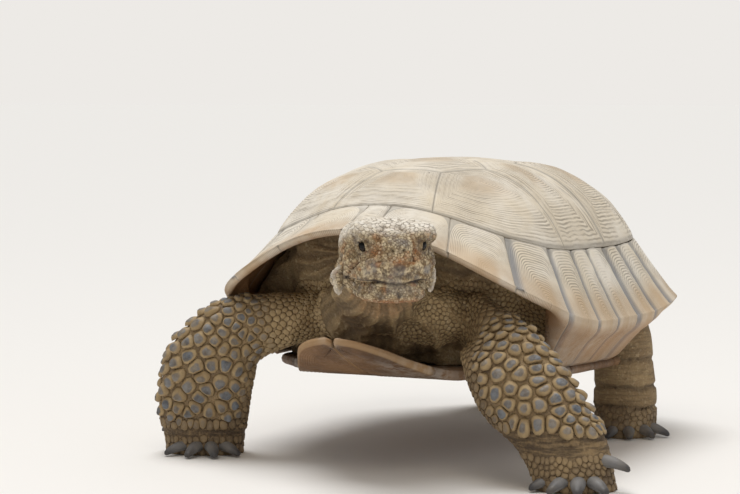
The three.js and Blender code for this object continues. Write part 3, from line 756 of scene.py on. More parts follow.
def bellyScute(name, side, y0, y1, material, seed):
    b = bellyForm
    half = shellForm["gap"] / 2

    def spot(share, y):
        width = float(bellyHalfWidth(y))
        end = 0
        if abs(y - b["throatTip"]) < 1e-6:
            end = b["notchDepth"] * (1 - share) ** 2
        if abs(y - b["tailTip"]) < 1e-6:
            end = -b["tailNotch"] * (1 - share) ** 2
        return (mix(half, width, share), y + end)

    first = y0 if y0 == b["throatTip"] else y0 + half
    last = y1 if y1 == b["tailTip"] else y1 - half
    n = b["perSide"]
    edge = [spot(k / n, first) for k in range(n)] + [spot(1, mix(first, last, k / n)) for k in range(n)]
    edge += [spot(1 - k / n, last) for k in range(n)] + [spot(0, mix(last, first, k / n)) for k in range(n)]
    edge = np.array(edge)
    centre = np.array([0.5 * float(bellyHalfWidth((y0 + y1) / 2)), (y0 + y1) / 2])
    # share of the way out and share of the thickness, over the top, round the edge and back below
    path = [(0, 1), (0.5, 1), (0.85, 1), (0.95, 0.98), (0.985, 0.82), (1, 0.5), (0.985, 0.18), (0.95, 0.02)]
    lower = [(mix(0.95, 0.3, (k / 28)), 0.0) for k in range(1, 29)] + [(0.15, 0), (0, 0)]
    path = np.array(path + lower)

    def place(col, row):
        xy = centre + (edge[col] - centre) * path[row, 0][:, None]
        lift = bellyLift(xy[:, 1])
        level = path[row, 1]
        wave = np.where(level < 0.01, 0.22 * np.abs(np.sin(path[row, 0] * 34 + seed)), 0)
        z = level * (b["thickness"] - 0.08 * lift) + lift + wave + 0.1 * grain(np.stack([*xy.T, level], -1), 7, seed)
        return toStance(np.stack([side * xy[:, 0], xy[:, 1], z], -1))

    obj, col, row = closedForm("plate_" + name, len(edge), len(path) - 1, place)
    setAttribute(obj, "share", path[row, 0])
    setAttribute(obj, "top", path[row, 1])
    setAttribute(obj, "tone", np.full(len(row), (seed * 0.43) % 1))
    setAttribute(obj, "lobe", np.full(len(row), float("gular" in name)))
    finishPiece(obj, material, "belly_plate", name)


def buildBelly(material):
    cuts = [bellyForm["throatTip"], *bellyForm["seams"], bellyForm["tailTip"]]
    for k, name in enumerate(("gular", "humeral", "pectoral", "abdominal", "femoral", "anal")):
        bellyScute(f"{name}_left", 1, cuts[k], cuts[k + 1], material, 60 + k)
        bellyScute(f"{name}_right", -1, cuts[k], cuts[k + 1], material, 70 + k)
    print("belly plates built")


# ---- materials of the shell
plateLook = {
    # the seam and blue-grey colours serve painted shade in the seams' valleys and the side grooves; the warm colour is
    # partly painted light at the rim's lower edge
    "cream": "#dfd3be", "tan": "#c6ae8e", "pale": "#eee8dd", "shade": "#8c8071", "seam": "#9c978e",
    "warm": "#c09a6c", "warmDark": "#a47b54", "grooveShade": "#7f8288", "under": "#8d6a46",
    "belly": "#8b6a4a", "bellyDark": "#5a412d", "bellyEdge": "#b8966c", "roughness": (0.5, 0.78), "grainDepth": 0.0005,
}


def makeGrowthGroup():
    # fine growth lines between the modelled ridges, from a plate's own share of the way to its seam
    group, takes, gives = newGroup("growthLines", (("Share", "Float"), ("Count", "Float"), ("Place", "Vector")),
                                   (("Lines", "Float"), ("Patches", "Float")))
    place = takes.outputs["Place"]
    wander = maths(group, "MULTIPLY", noiseOf(group, place, 60, 2), 0.05)
    share = maths(group, "ADD", takes.outputs["Share"], wander)
    wave = maths(group, "SINE", maths(group, "MULTIPLY", share, maths(group, "MULTIPLY", takes.outputs["Count"], 6.283)))
    lines = maths(group, "POWER", spread(group, wave, -1.0, 1.0), 2.2)
    broken = spread(group, noiseOf(group, place, 45, 4), 0.3, 0.62)
    group.links.new(maths(group, "MULTIPLY", lines, broken), gives.inputs["Lines"])
    group.links.new(spread(group, noiseOf(group, place, 26, 5, 0.62), 0.36, 0.66), gives.inputs["Patches"])
    return group


def makeDustGroup():
    # pale dust and fine pits that all hard parts share
    group, takes, gives = newGroup("dustAndPits", (("Place", "Vector"),), (("Dust", "Float"), ("Pits", "Float")))
    place = takes.outputs["Place"]
    dust = maths(group, "MULTIPLY", spread(group, noiseOf(group, place, 14, 4, 0.6), 0.42, 0.7),
                 spread(group, noiseOf(group, place, 210, 3), 0.35, 0.6))
    pits = maths(group, "ADD", noiseOf(group, place, 900, 4, 0.65), maths(group, "MULTIPLY", cellsOf(group, place, 420), 0.5))
    group.links.new(dust, gives.inputs["Dust"])
    group.links.new(pits, gives.inputs["Pits"])
    return group


def plateMaterial(kind, growth, dust):
    look = plateLook
    material, tree, shader = newTree(kind + "Horn")
    place = objectPlace(tree)
    share, top = attribute(tree, "share"), attribute(tree, "top")
    count = {"dome": 31.0, "rim": 24.0, "belly": 22.0}[kind]
    lines = useGroup(tree, growth, Share=share, Count=count, Place=place)
    surface = useGroup(tree, dust, Place=place)
    if kind == "belly":
        colour = blendColour(tree, lines.outputs["Patches"], look["belly"], look["bellyDark"])
        colour = blendColour(tree, maths(tree, "MULTIPLY", lines.outputs["Lines"], 0.08), colour, look["bellyDark"])
        colour = blendColour(tree, maths(tree, "MULTIPLY", attribute(tree, "lobe"),
                                                    spread(tree, share, 0.9, 1.0, 0.0, 0.6)), colour, look["bellyEdge"])
    else:
        areola = maths(tree, "SUBTRACT", 1.0, spread(tree, share, 0.2, 0.52))
        colour = blendColour(tree, maths(tree, "MULTIPLY", lines.outputs["Patches"], 0.75), look["cream"], look["pale"])
        colour = blendColour(tree, maths(tree, "MULTIPLY", areola, 0.6), colour, look["tan"])
        colour = blendColour(tree, maths(tree, "MULTIPLY", lines.outputs["Lines"], 0.68), colour, look["shade"])
        if kind == "rim":
            upward, groove = attribute(tree, "upward"), attribute(tree, "groove")
            # warmer towards the rim's lower edge: partly the marginals' own tan-orange, partly painted light of the
            # thin, lit edge
            low = maths(tree, "SUBTRACT", 1.0, spread(tree, upward, 0.12, 0.55))
            warm = blendColour(tree, lines.outputs["Patches"], look["warm"], look["tan"])
            colour = blendColour(tree, maths(tree, "MULTIPLY", low, 0.4), colour, warm)
            # painted shade: blue-grey in the grooves between the side marginals
            colour = blendColour(tree, maths(tree, "MULTIPLY", groove, 0.8), colour, look["grooveShade"])
            colour = blendColour(tree, maths(tree, "SUBTRACT", 1.0, top), colour,
                                 blendColour(tree, lines.outputs["Patches"], look["warmDark"], look["under"]))
        # painted shade: greyer along each plate's seams, in the valley between plates
        seamShade = spread(tree, share, 0.955, 0.995)
        colour = blendColour(tree, maths(tree, "MULTIPLY", seamShade, 0.6), colour, look["seam"])
    colour = blendColour(tree, maths(tree, "MULTIPLY", surface.outputs["Dust"], 0.4), colour, look["pale"])
    feed(tree, shader.inputs["Base Color"], colour)
    low, high = look["roughness"]
    feed(tree, shader.inputs["Roughness"], spread(tree, surface.outputs["Pits"], 0.3, 1.0, low, high))
    shader.inputs["Specular IOR Level"].default_value = 0.42
    height = maths(tree, "ADD", maths(tree, "MULTIPLY", lines.outputs["Lines"], -0.6),
                   maths(tree, "MULTIPLY", surface.outputs["Pits"], 0.35))
    feed(tree, shader.inputs["Normal"], bumpOf(tree, height, look["grainDepth"], 0.55))
    return material


# ---- flesh: lines that limbs, neck and tail follow, each station x, y, z, half width, half depth
limbForms = {
    "neck": {"axis": (0, 0, 1), "stations": [
        (28, -78, 80, 27, 25), (32, -104, 88, 25, 25), (40, -126, 94, 21, 23), (49, -141, 98, 18, 20)]},
    "tail": {"axis": (0, 0.45, 0.9), "stations": [
        (42, 96, 68, 11, 12), (49, 111, 62, 9, 9.5), (56, 122, 55, 5.5, 6), (62, 129, 50, 2, 2)]},
    "foreleg_right": {"axis": (-0.3, 0.95, 0), "foot": (-72, -92), "headings": (-85, -30, 4, 37, 68),
                      "clawSize": 4.4, "outerLift": 9, "stations": [
        (0, -70, 72, 16, 17), (-26, -84, 70, 14, 17), (-52, -94, 63, 18.5, 16), (-65, -98, 47, 23.5, 15),
        (-71, -96, 28, 24, 14), (-73.5, -92, 11, 23, 14.5), (-74, -90, -8, 23, 15)]},
    "foreleg_left": {"axis": (-0.45, 0.9, 0), "foot": (140, -123), "headings": (88, 50, 18, -14, -46),
                     "clawSize": 4.8, "outerLift": 9, "stations": [
        (60, -74, 72, 16, 16), (79, -94, 71, 15, 16), (94, -111, 63, 19, 16), (108, -119, 47, 22, 15),
        (124, -122, 31, 20.5, 14.5), (135, -123, 15, 20.5, 15), (140, -124, -7, 22.5, 15)]},
    "hindleg_right": {"axis": (1, -0.3, 0), "foot": (4, 144), "headings": (80, 50, 20, -10),
                      "clawSize": 4.6, "outerLift": 0, "stations": [
        (-14, 70, 66, 19, 18), (-21, 96, 61, 18.5, 18), (-20, 118, 46, 18, 17.5), (-9, 134, 28, 17, 17),
        (1, 142, 12, 17.5, 18), (4, 144, -6, 18.5, 19)]},
    "hindleg_left": {"axis": (0, 1, 0), "foot": (103, 59), "headings": (83, 53, 22, -6),
                     "clawSize": 4.6, "outerLift": 0, "stations": [
        (70, 64, 76, 17, 20), (88, 62, 70, 17, 20), (98, 61, 54, 17.5, 19), (101, 60, 36, 17, 18),
        (102, 60, 18, 18, 19), (103, 59, -6, 18.5, 20)]},
}
legNames = ("foreleg_right", "foreleg_left", "hindleg_right", "hindleg_left")
skinForm = {
    "voxel": 0.00168, "smoothing": 7, "scaleDepth": 0.9, "columns": 40, "rows": 44, "trunkKeep": 0.06,
    "headReach": 4.0, "nape": (13.0, 24.0), "footWaist": 0.1,
}


def limbLine(form, t):
    stations = np.array(form["stations"], float)
    values = catmull(stations, t)
    ahead = catmull(stations[:, :3], np.clip(t + 0.01, 0, 1)) - catmull(stations[:, :3], np.clip(t - 0.01, 0, 1))
    ahead /= np.linalg.norm(ahead, axis=1, keepdims=True)
    deep = np.array(form["axis"], float) / np.linalg.norm(form["axis"])
    wide = np.cross(ahead, deep)
    wide /= np.linalg.norm(wide, axis=1, keepdims=True)
    return values[:, :3], ahead, wide, deep, values[:, 3], values[:, 4]


def buildLimb(name, grow):
    form = limbForms[name]
    rows = skinForm["rows"]

    def place(col, row):
        t = np.clip((row - 1) / (rows - 2), 0, 1)
        centre, ahead, wide, deep, halfWide, halfDeep = limbLine(form, t)
        around = 2 * math.pi * col / skinForm["columns"]
        pole = ((row > 0) & (row < rows)).astype(float)
        if name in legNames:
            waist = 1 - skinForm["footWaist"] * (1 - smoothstep(centre[:, 2], 3, 17))
            halfWide = halfWide * waist
        side = wide * (np.cos(around) * (halfWide + grow) * pole)[:, None]
        return toRow(centre + side + deep * (np.sin(around) * (halfDeep + grow) * pole)[:, None])

    obj, _, _ = closedForm(name + "Core", skinForm["columns"], rows, place)
    return obj


def cutAtFloor(obj):
    bpy.ops.object.mode_set(mode="EDIT")
    bpy.ops.mesh.select_all(action="SELECT")
    bpy.ops.mesh.bisect(plane_co=(0, 0, 0), plane_no=(0, 0, 1), use_fill=True, clear_inner=True)
    bpy.ops.object.mode_set(mode="OBJECT")


def headField(p):
    total = 0
    for centre, half, power in headForm["boxes"]:
        size = (np.abs((p - np.array(centre)) / np.array(half)) ** power).sum(-1) ** (1 / power)
        total = total + np.exp(-(size - 1) * min(half) / headForm["blend"])
    return -headForm["blend"] * np.log(total + 1e-300)


def headSlope(p):
    step = 0.05
    slope = [headField(p + np.eye(3)[k] * step) - headField(p - np.eye(3)[k] * step) for k in range(3)]
    return np.stack(slope, -1) / (2 * step)


def buildHeadCore():
    columns, rows = 56, 40

    def place(col, row):
        az, el = 2 * math.pi * (col + 0.5) / columns, math.pi * row / rows
        way = np.stack([np.sin(el) * np.cos(az), -np.cos(el), np.sin(el) * np.sin(az)], -1)
        heart = np.array([0, 0, -1.0])
        inside, outside = np.full(len(col), 2.0), np.full(len(col), 45.0)
        for _ in range(18):
            middle = (inside + outside) / 2
            within = headField(heart + way * middle[:, None]) < 0
            inside, outside = np.where(within, middle, inside), np.where(within, outside, middle)
        return toRow(headToBody(heart + way * inside[:, None]))

    obj, _, _ = closedForm("headCore", columns, rows, place)
    return obj


def selectPoints(obj, wanted):
    clearSelection()
    bpy.context.view_layer.objects.active = obj
    obj.select_set(True)
    bpy.ops.object.mode_set(mode="EDIT")
    bpy.ops.mesh.select_mode(type="VERT")
    bpy.ops.mesh.select_all(action="DESELECT")
    bpy.ops.object.mode_set(mode="OBJECT")
    obj.data.vertices.foreach_set("select", np.ascontiguousarray(wanted, bool))
    faces = obj.data.polygons
    loops = np.empty(len(obj.data.loops), np.int64)
    obj.data.loops.foreach_get("vertex_index", loops)
    starts = np.empty(len(faces), np.int64)
    faces.foreach_get("loop_start", starts)
    chosen = np.logical_and.reduceat(np.asarray(wanted, bool)[loops], starts)
    faces.foreach_set("select", chosen)
    bpy.ops.object.mode_set(mode="EDIT")
    bpy.ops.mesh.select_mode(type="FACE")


def limbPlace(points, form, samples=90):
    # share along a limb, angle round it, and distance from its line in radii
    t = np.linspace(0, 1, samples)
    centre, ahead, wide, deep, halfWide, halfDeep = limbLine(form, t)
    nearest = np.empty(len(points), int)
    for start in range(0, len(points), 20000):
        part = points[start:start + 20000]
        nearest[start:start + 20000] = ((part[:, None, :] - centre[None]) ** 2).sum(-1).argmin(1)
    way = points - centre[nearest]
    a = np.einsum("ij,ij->i", way, wide[nearest]) / halfWide[nearest]
    b = (way @ deep) / halfDeep[nearest]
    along = np.einsum("ij,ij->i", way, ahead[nearest]) / halfWide[nearest]
    return t[nearest], np.arctan2(b, a), np.sqrt(a * a + b * b + along * along)


def partOf(points):
    # which part each point belongs to: 0 trunk, 1 head, 2 neck, 3 tail, 4-7 legs
    names = ("neck", "tail", *legNames)
    closeness = np.full((len(points), 8), 9.0)
    shares, angles = np.zeros((len(points), 8)), np.zeros((len(points), 8))
    for k, name in enumerate(names):
        shares[:, k + 2], angles[:, k + 2], closeness[:, k + 2] = limbPlace(points, limbForms[name])
    closeness[:, 0] = 1.3
    inHead = bodyToHead(points)
    closeness[:, 1] = np.where(headField(inHead) < 3.5, 0.5, 9)
    part = closeness.argmin(1)
    rows = np.arange(len(points))
    return part, shares[rows, part], angles[rows, part]


def orderFaces(obj):
    # operators may leave faces in another order on each run, which would change the remesh a little
    mesh = obj.data
    points = [tuple(point.co) for point in mesh.vertices]
    faces = [tuple(face.vertices) for face in mesh.polygons]
    starts = [face.index(min(face)) for face in faces]
    faces = sorted(face[k:] + face[:k] for face, k in zip(faces, starts))
    mesh.clear_geometry()
    mesh.from_pydata(points, [], faces)


def buildSkinBase():
    clearSelection()
    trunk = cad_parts["trunk"]
    core = bpy.data.objects.new("skin", trunk.data.copy())
    bpy.context.scene.collection.objects.link(core)
    bpy.context.view_layer.objects.active = core
    core.select_set(True)
    bpy.ops.object.mode_set(mode="EDIT")
    bpy.ops.mesh.select_all(action="SELECT")
    bpy.ops.mesh.remove_doubles(threshold=0.00001)
    bpy.ops.object.mode_set(mode="OBJECT")
    parts = [core, buildHeadCore()]
    for name in ("neck", "tail", *legNames):
        limb = buildLimb(name, -skinForm["scaleDepth"] if name in legNames else -0.4)
        if name in legNames:
            cutAtFloor(limb)
        parts.append(limb)
    clearSelection()
    for obj in parts:
        obj.select_set(True)
    bpy.context.view_layer.objects.active = core
    bpy.ops.object.join()
    orderFaces(core)
    core.data.remesh_voxel_size = skinForm["voxel"]
    bpy.ops.object.voxel_remesh()
    shape = core.modifiers.new("smooth", "SMOOTH")
    shape.factor, shape.iterations = 0.5, skinForm["smoothing"]
    bpy.ops.object.modifier_apply(modifier=shape.name)
    print("skin joined:", len(core.data.vertices), "points")
    return core


def trimHiddenTrunk(skin):
    # the body under the plates is never seen, so it keeps few faces
    p = toBody(getPoints(skin))
    local = turned(turned(p - np.array(shellForm["stance"]), "x", -shellForm["pitch"]), "y", -shellForm["roll"])
    edge = rim(np.arctan2(local[:, 0], -local[:, 1]))
    out = np.hypot(local[:, 0], local[:, 1]) / np.hypot(edge[:, 0], edge[:, 1])
    part, _, _ = partOf(p)
    chestSide = (np.abs(p[:, 0] - 32) < 58) & (p[:, 1] < -72) & (p[:, 2] > 52) & (p[:, 2] < 108)
    hidden = (part == 0) & ~chestSide
    group = skin.vertex_groups.new(name="hidden")
    group.add([int(i) for i in np.flatnonzero(hidden)], 1.0, "REPLACE")
    clearSelection()
    bpy.context.view_layer.objects.active = skin
    skin.select_set(True)
    fewer = skin.modifiers.new("fewer", "DECIMATE")
    share = hidden.mean()
    fewer.ratio = 1 - share * (1 - skinForm["trunkKeep"])
    fewer.vertex_group = group.name
    bpy.ops.object.modifier_apply(modifier=fewer.name)
    skin.vertex_groups.clear()
    print("trunk trimmed:", len(skin.data.vertices), "points")


def refineHead(skin):
    # finer faces on the head, and finer again on the face
    for distance, back in ((skinForm["headReach"], 22.0), (3.0, 0.0)):
        body = toBody(getPoints(skin))
        p = bodyToHead(body)
        wanted = (np.abs(headField(p)) < distance) & (p[:, 1] < back) & (p[:, 2] > -24)
        if back > 0:  # throat and the front of neck and shoulders
            wanted |= (np.abs(body[:, 0] - 36) < 50) & (body[:, 1] < -84) & (body[:, 2] > 56) & (body[:, 2] < 112)
        selectPoints(skin, wanted)
        bpy.ops.mesh.subdivide(number_cuts=1)
        bpy.ops.object.mode_set(mode="OBJECT")
    print("head refined:", len(skin.data.vertices), "points")


def lineNearness(p, line):
    # distance to a line of points and the share along it
    line = np.array(line, float)
    best, share = np.full(len(p), 1e9), np.zeros(len(p))
    for k in range(len(line) - 1):
        a, b = line[k], line[k + 1]
        t = np.clip(((p - a) @ (b - a)) / ((b - a) @ (b - a)), 0, 1)
        d = np.linalg.norm(p - (a + t[:, None] * (b - a)), axis=1)
        closer = d < best
        best[closer], share[closer] = d[closer], (k + t[closer]) / (len(line) - 1)
    return best, share


# the face's lines, in the head's frame on its left side: x out, y back, z up; mirrored for the right
faceForm = {
    "mouth": [(0, -26, -9.3), (4, -25, -9.1), (8, -23.5, -8.3), (11, -21.5, -7.9), (14, -17, -8.2),
              (17, -11, -8.6), (19.5, -3.5, -8.4), (21, 1, -8.0)],
    "cheek": [(8.4, -18.5, 6.0), (9.6, -18, 2.6), (12.2, -16, 0.9), (15.8, -12.5, -0.6), (18.3, -7.5, -3),
              (20.2, -2.5, -7.6)],
    "browLine": [(6.5, -18, 11.5), (11, -15.5, 13.2), (16, -9.5, 12.6), (19, -2, 10.5)],
    "noseSide": [(3.6, -9, 17), (6.0, -15.5, 14), (7.5, -19.5, 9.5), (7.8, -21.5, 5), (8.4, -21.5, 2)],
    "noseBelow": [(8.2, -21.5, 1.8), (4, -24, 0.6), (0, -25, 0.2)],
    "flap": [(22.4, 5, -3.6), (23.9, 6.5, -7), (23.8, 7, -11), (21.8, 7, -15.5), (18.6, 5, -19)],
    "cup": [(21.4, 2.2, -4.5), (22.4, 2.8, -8.5), (21.2, 3.0, -13), (18.4, 3.0, -17.5)],
    "temple": [(20.5, -3, 9), (22.0, 2, 4), (22.5, 4, -3)],
    "jawFold": [(15, -17, -14), (18.5, -8, -15), (20, 0, -16)],
}
# soft lumps: place, radius, height
faceLumps = (
    ((12.8, -18.5, -3.8), 5.0, 0.8), ((0, -25.5, -5.4), 4.0, -0.7), ((9.5, -21, -15), 4.8, 0.9),
    ((17.5, -12, 16), 4.2, 1.4), ((10.2, -16.5, 6.5), 2.8, -2.0), ((20.5, -5, 0.5), 4.6, 1.5),
    ((13, -14, 1.8), 2.4, 0.6), ((0, -22.5, 10), 4.4, 0.2), ((4.5, -8, 18.5), 4.5, -0.5),
    ((14, 3, 18.5), 5.5, 0.5), ((21.5, 6, -12), 3.4, -2.2), ((4.4, -24, -13.4), 2.0, 0.5),
    ((15, -15, -12), 4.2, -0.9), ((5, -26, -3), 9, -1.8),
)
beakForm = {"top": ((0, 8.2, 12.2, 15.8, 18.3, 20.2), (0.2, 1.6, 0.7, -0.8, -3.2, -7.6)), "lip": 2.3}
lidForm = {"open": (1.1, 2.3), "slant": 0.3, "lidOut": 0.85, "reach": 8.2, "sink": 2.4}


def ontoHead(line):
    # a face line drawn closer and laid on the head's plain surface
    line = np.array(line, float)
    n = (len(line) - 1) * 3
    at = np.linspace(0, len(line) - 1, n + 1)
    q = np.stack([np.interp(at, np.arange(len(line)), line[:, k]) for k in range(3)], -1)
    for _ in range(6):
        slope = headSlope(q)
        q = q - slope * (headField(q) / (slope ** 2).sum(-1))[:, None]
    return q


faceLines = {name: ontoHead(line) for name, line in faceForm.items()}


def mirroredSide(p):
    return np.stack([np.abs(p[:, 0]), p[:, 1], p[:, 2]], -1)


def faceRelief(p):
    # height over the head's plain surface, in mm
    q = mirroredSide(p)
    relief = np.zeros(len(p))
    mouth = faceForm["mouth"]
    d, t = lineNearness(q, faceLines["mouth"])
    lineZ = np.interp(q[:, 0], [c[0] for c in mouth], [c[2] for c in mouth])
    below = smoothstep(lineZ - q[:, 2], 0.0, 0.7)
    front = smoothstep(-q[:, 1], -4, 4)
    relief -= (1.5 + 0.6 * smoothstep(q[:, 0], 6, 14)) * np.exp(-(d / 0.7) ** 2)
    relief += front * (1 - below) * 0.6 * np.exp(-((d - 1.6) / 1.5) ** 2)
    relief -= front * below * (1.0 + 1.4 * smoothstep(q[:, 0], 8, 16)) * np.exp(-(d / 5) ** 2)
    for name, deep, wide in (("cheek", 2.2, 1.1), ("noseSide", 1.9, 1.3), ("noseBelow", 0.7, 0.9),
                             ("temple", 1.0, 1.1), ("jawFold", 0.9, 1.0), ("cup", 2.4, 1.3)):
        d, t = lineNearness(q, faceLines[name])
        relief -= deep * np.exp(-(d / wide) ** 2)
    d, t = lineNearness(q, faceLines["cheek"])
    relief += 0.8 * np.exp(-((d - 2.8) / 1.4) ** 2)
    d, t = lineNearness(q, faceLines["browLine"])
    relief += 1.6 * np.exp(-(d / 2.0) ** 2)
    d, t = lineNearness(q, faceLines["flap"])
    tall = np.where(p[:, 0] < 0, 3.4, 2.2)  # the right flap is the larger
    relief += tall * np.exp(-(d / 1.1) ** 2) * np.clip(np.sin(np.clip(t, 0, 1) * math.pi), 0, 1) ** 0.6
    centre, out, up, back = eyeAxes(1)
    eyeAway = np.linalg.norm(q - (centre + out * eyeForm["radius"]), axis=1)
    relief -= 1.1 * np.exp(-((eyeAway - 6.4) / 1.5) ** 2) * (1 - smoothstep(q[:, 2], 9, 12))
    for at, radius, tall in faceLumps:
        relief += tall * np.exp(-(((q - np.array(at)) / radius) ** 2).sum(1))
    nostril = np.linalg.norm(q - np.array([2.7, -25.3, 6.2]), axis=1)
    relief += 0.4 * np.exp(-((nostril - 1.6) / 0.7) ** 2) - 2.0 * np.exp(-(nostril / 0.85) ** 2)
    crease = np.abs(grain(p, 5.2, 3) + 0.5 * grain(p, 2.4, 4))
    relief -= 0.5 * np.exp(-(crease / 0.1) ** 2) * smoothstep(p[:, 1], -22, 2)
    relief += 0.35 * grain(p, 4.0, 8) + 0.2 * grain(p, 1.9, 9)
    return relief


def eyeAxes(side):
    out = np.array(eyeForm["gaze"]) * np.array([side, 1, 1])
    out = out / np.linalg.norm(out)
    up = np.array([0, 0, 1.0]) - out * out[2]
    up /= np.linalg.norm(up)
    back = np.cross(up, out) * side
    return np.array(eyeForm["place"]) * np.array([side, 1, 1]), out, up, back


def lidPoints(p):
    # lids wrap the eyeball and leave a slanted opening; returns the moved points
    moved = p.copy()
    radius = eyeForm["radius"]
    for side in (1, -1):
        centre, out, up, back = eyeAxes(side)
        way = p - centre
        height, across, ahead = way @ up, way @ back, way @ out
        # the opening is an almond that slants down towards the nose
        u = across - lidForm["slant"] * height
        far = np.sqrt((u / lidForm["open"][0]) ** 2 + (height / lidForm["open"][1]) ** 2)
        length = np.linalg.norm(way, axis=1)
        near = (ahead > -1.5) & (length < lidForm["reach"] + 3)
        direction = way / np.maximum(length, 1e-6)[:, None]
        # distance from the eye's centre that the lids ask for
        ringed = 0.2 * np.cos(np.clip(far - 1, 0, 3) * 7) * (far > 1)
        lid = radius + lidForm["lidOut"] + ringed + 0.3 * np.exp(-((far - 1.15) / 0.14) ** 2)
        lid = lid + 0.7 * smoothstep(height, 1.0, 3.5)  # the upper lid hangs over
        inside = radius - lidForm["sink"]
        want = mix(inside, lid, smoothstep(far, 0.93, 1.06))
        blendOut = 1 - smoothstep(far, 2.0, 3.3)
        target = centre + direction * want[:, None]
        weight = blendOut * near
        moved += (target - p) * weight[:, None]
    return moved


def shapeHead(skin):
    body = toBody(getPoints(skin))
    p = bodyToHead(body)
    field = headField(p)
    low, high = skinForm["nape"]
    weight = (1 - smoothstep(np.abs(field), 3.0, 6.0)) * (1 - smoothstep(p[:, 1], low, high))
    weight *= 1 - smoothstep(-p[:, 2], 18.5, 23.5) * smoothstep(p[:, 1], -14, -4)
    chosen = np.flatnonzero(weight > 0.001)
    q = p[chosen]
    for _ in range(4):
        slope = headSlope(q)
        q = q - slope * (headField(q) / (slope ** 2).sum(-1))[:, None] * weight[chosen][:, None]
    plain = p.copy()  # places before the relief, for the markings
    plain[chosen] = q
    slope = headSlope(q)
    normal = slope / np.linalg.norm(slope, axis=1, keepdims=True)
    inset = 0.6
    q = q + normal * ((faceRelief(q) - inset) * weight[chosen])[:, None]
    q = lidPoints(q)
    p[chosen] = q
    setPoints(skin, toRow(headToBody(p)))
    print("head shaped")
    return headToBody(plain)


throatForm = {"folds": 0.62, "deep": 2.0, "dewlap": ((-2, 0, -27), (9, 12, 7), 3.0)}


def skinRelief(p):
    # height of folds and wrinkles over the plain skin, in mm, and how deep in a fold each point is
    part, share, angle = partOf(p)
    inHead = bodyToHead(p)
    headCover = (1 - smoothstep(headField(inHead), 0.5, 4)) * (1 - smoothstep(inHead[:, 1], 12, 22))
    neckish = ((part == 2) | (part == 0)) * (1 - headCover)
    armpit = ((part == 4) | (part == 5)) * (1 - smoothstep(share, 0.1, 0.3))
    # long folds spread from the neck over the shoulders
    spreadAngle = np.arctan2(inHead[:, 0], -(inHead[:, 2] + 4))
    long = np.abs(np.sin(spreadAngle * 9.5 + 1.0 * grain(p, 18, 21) + 0.5 * grain(p, 7, 22)))
    fine = np.abs(np.sin(spreadAngle * 27 + 2.2 * grain(p, 9, 23)))
    cover = np.clip(neckish + armpit, 0, 1)
    height = cover * (1.9 * (1 - long) ** 1.5 - 0.7 + 0.45 * (1 - fine) ** 1.3)
    fold = cover * np.clip(0.55 * smoothstep(long, 0.2, 0.9) + 0.3 * smoothstep(fine, 0.3, 1), 0, 1)
    # throat: folds that hang from the jaw
    throat = np.exp(-((inHead[:, 1] + 1) / 15) ** 2) * smoothstep(-inHead[:, 2], 16, 22)
    throat *= (1 - smoothstep(np.abs(inHead[:, 0]), 17, 25)) * neckish
    wave = inHead[:, 0] * throatForm["folds"] * (1 + 0.02 * (inHead[:, 2] + 20)) + 1.5 * grain(p, 8, 31)
    hang = np.abs(np.sin(wave))
    height = mix(height, throatForm["deep"] * ((1 - hang) ** 1.4 - 0.35), throat)
    fold = mix(fold, 0.7 * smoothstep(hang, 0.25, 0.9), throat)
    at, reach, out = throatForm["dewlap"]
    height += out * np.exp(-(((inHead - np.array(at)) / np.array(reach)) ** 2).sum(1))
    # hind legs: folds round the column
    for leg in (6, 7):
        line = limbLine(limbForms[legNames[leg - 4]], np.linspace(0, 1, 24))[0]
        length = np.linalg.norm(np.diff(line, axis=0), axis=1).sum()
        level = (1 - share) * length + 1.6 * grain(p, 14, 41 + leg)
        ring = (part == leg) * sum(np.exp(-((level - at) / 1.1) ** 2) for at in (18, 29, 44))
        height -= 1.5 * ring
        fold = np.maximum(fold, np.clip(ring, 0, 1))
    # forelegs: fine folds across the wrist
    for leg in (4, 5):
        wrist = coatForm["wrist"][leg]
        band = np.exp(-((p[:, 2] - wrist + 4) / 6) ** 2) * (part == leg)
        line = np.abs(np.sin(p[:, 2] * 1.15 + 2.0 * grain(p, 9, 45)))
        height += band * (0.9 * line ** 0.6 - 0.6)
        fold = np.maximum(fold, band * np.exp(-(line / 0.3) ** 2))
    height += (part >= 4) * 0.35 * grain(p, 11, 51) + 0.12 * grain(p, 2.1, 52)
    return height * smoothstep(p[:, 2], 1.0, 6.0), fold, part


def wrinkleSkin(skin):
    p = toBody(getPoints(skin))
    normal = getNormals(skin)
    height, fold, part = skinRelief(p)
    p = p + normal * height[:, None]
    lined = np.zeros(len(p))
    for leg in (4, 5):
        band = np.exp(-((p[:, 2] - coatForm["wrist"][leg] + 5) / 8) ** 4)
        lined = np.maximum(lined, band * (part == leg))
    lined = np.maximum(lined, 0.4 * (part >= 6))
    setAttribute(skin, "fold", fold)
    setAttribute(skin, "lined", lined)
    # soles rest flat on the floor
    foot = (part >= 4) & (p[:, 2] < 4)
    p[foot, 2] = np.maximum(0.12, p[foot, 2] - 0.5 * (1 - smoothstep(p[foot, 2], 0.3, 4)))
    setPoints(skin, toRow(p))


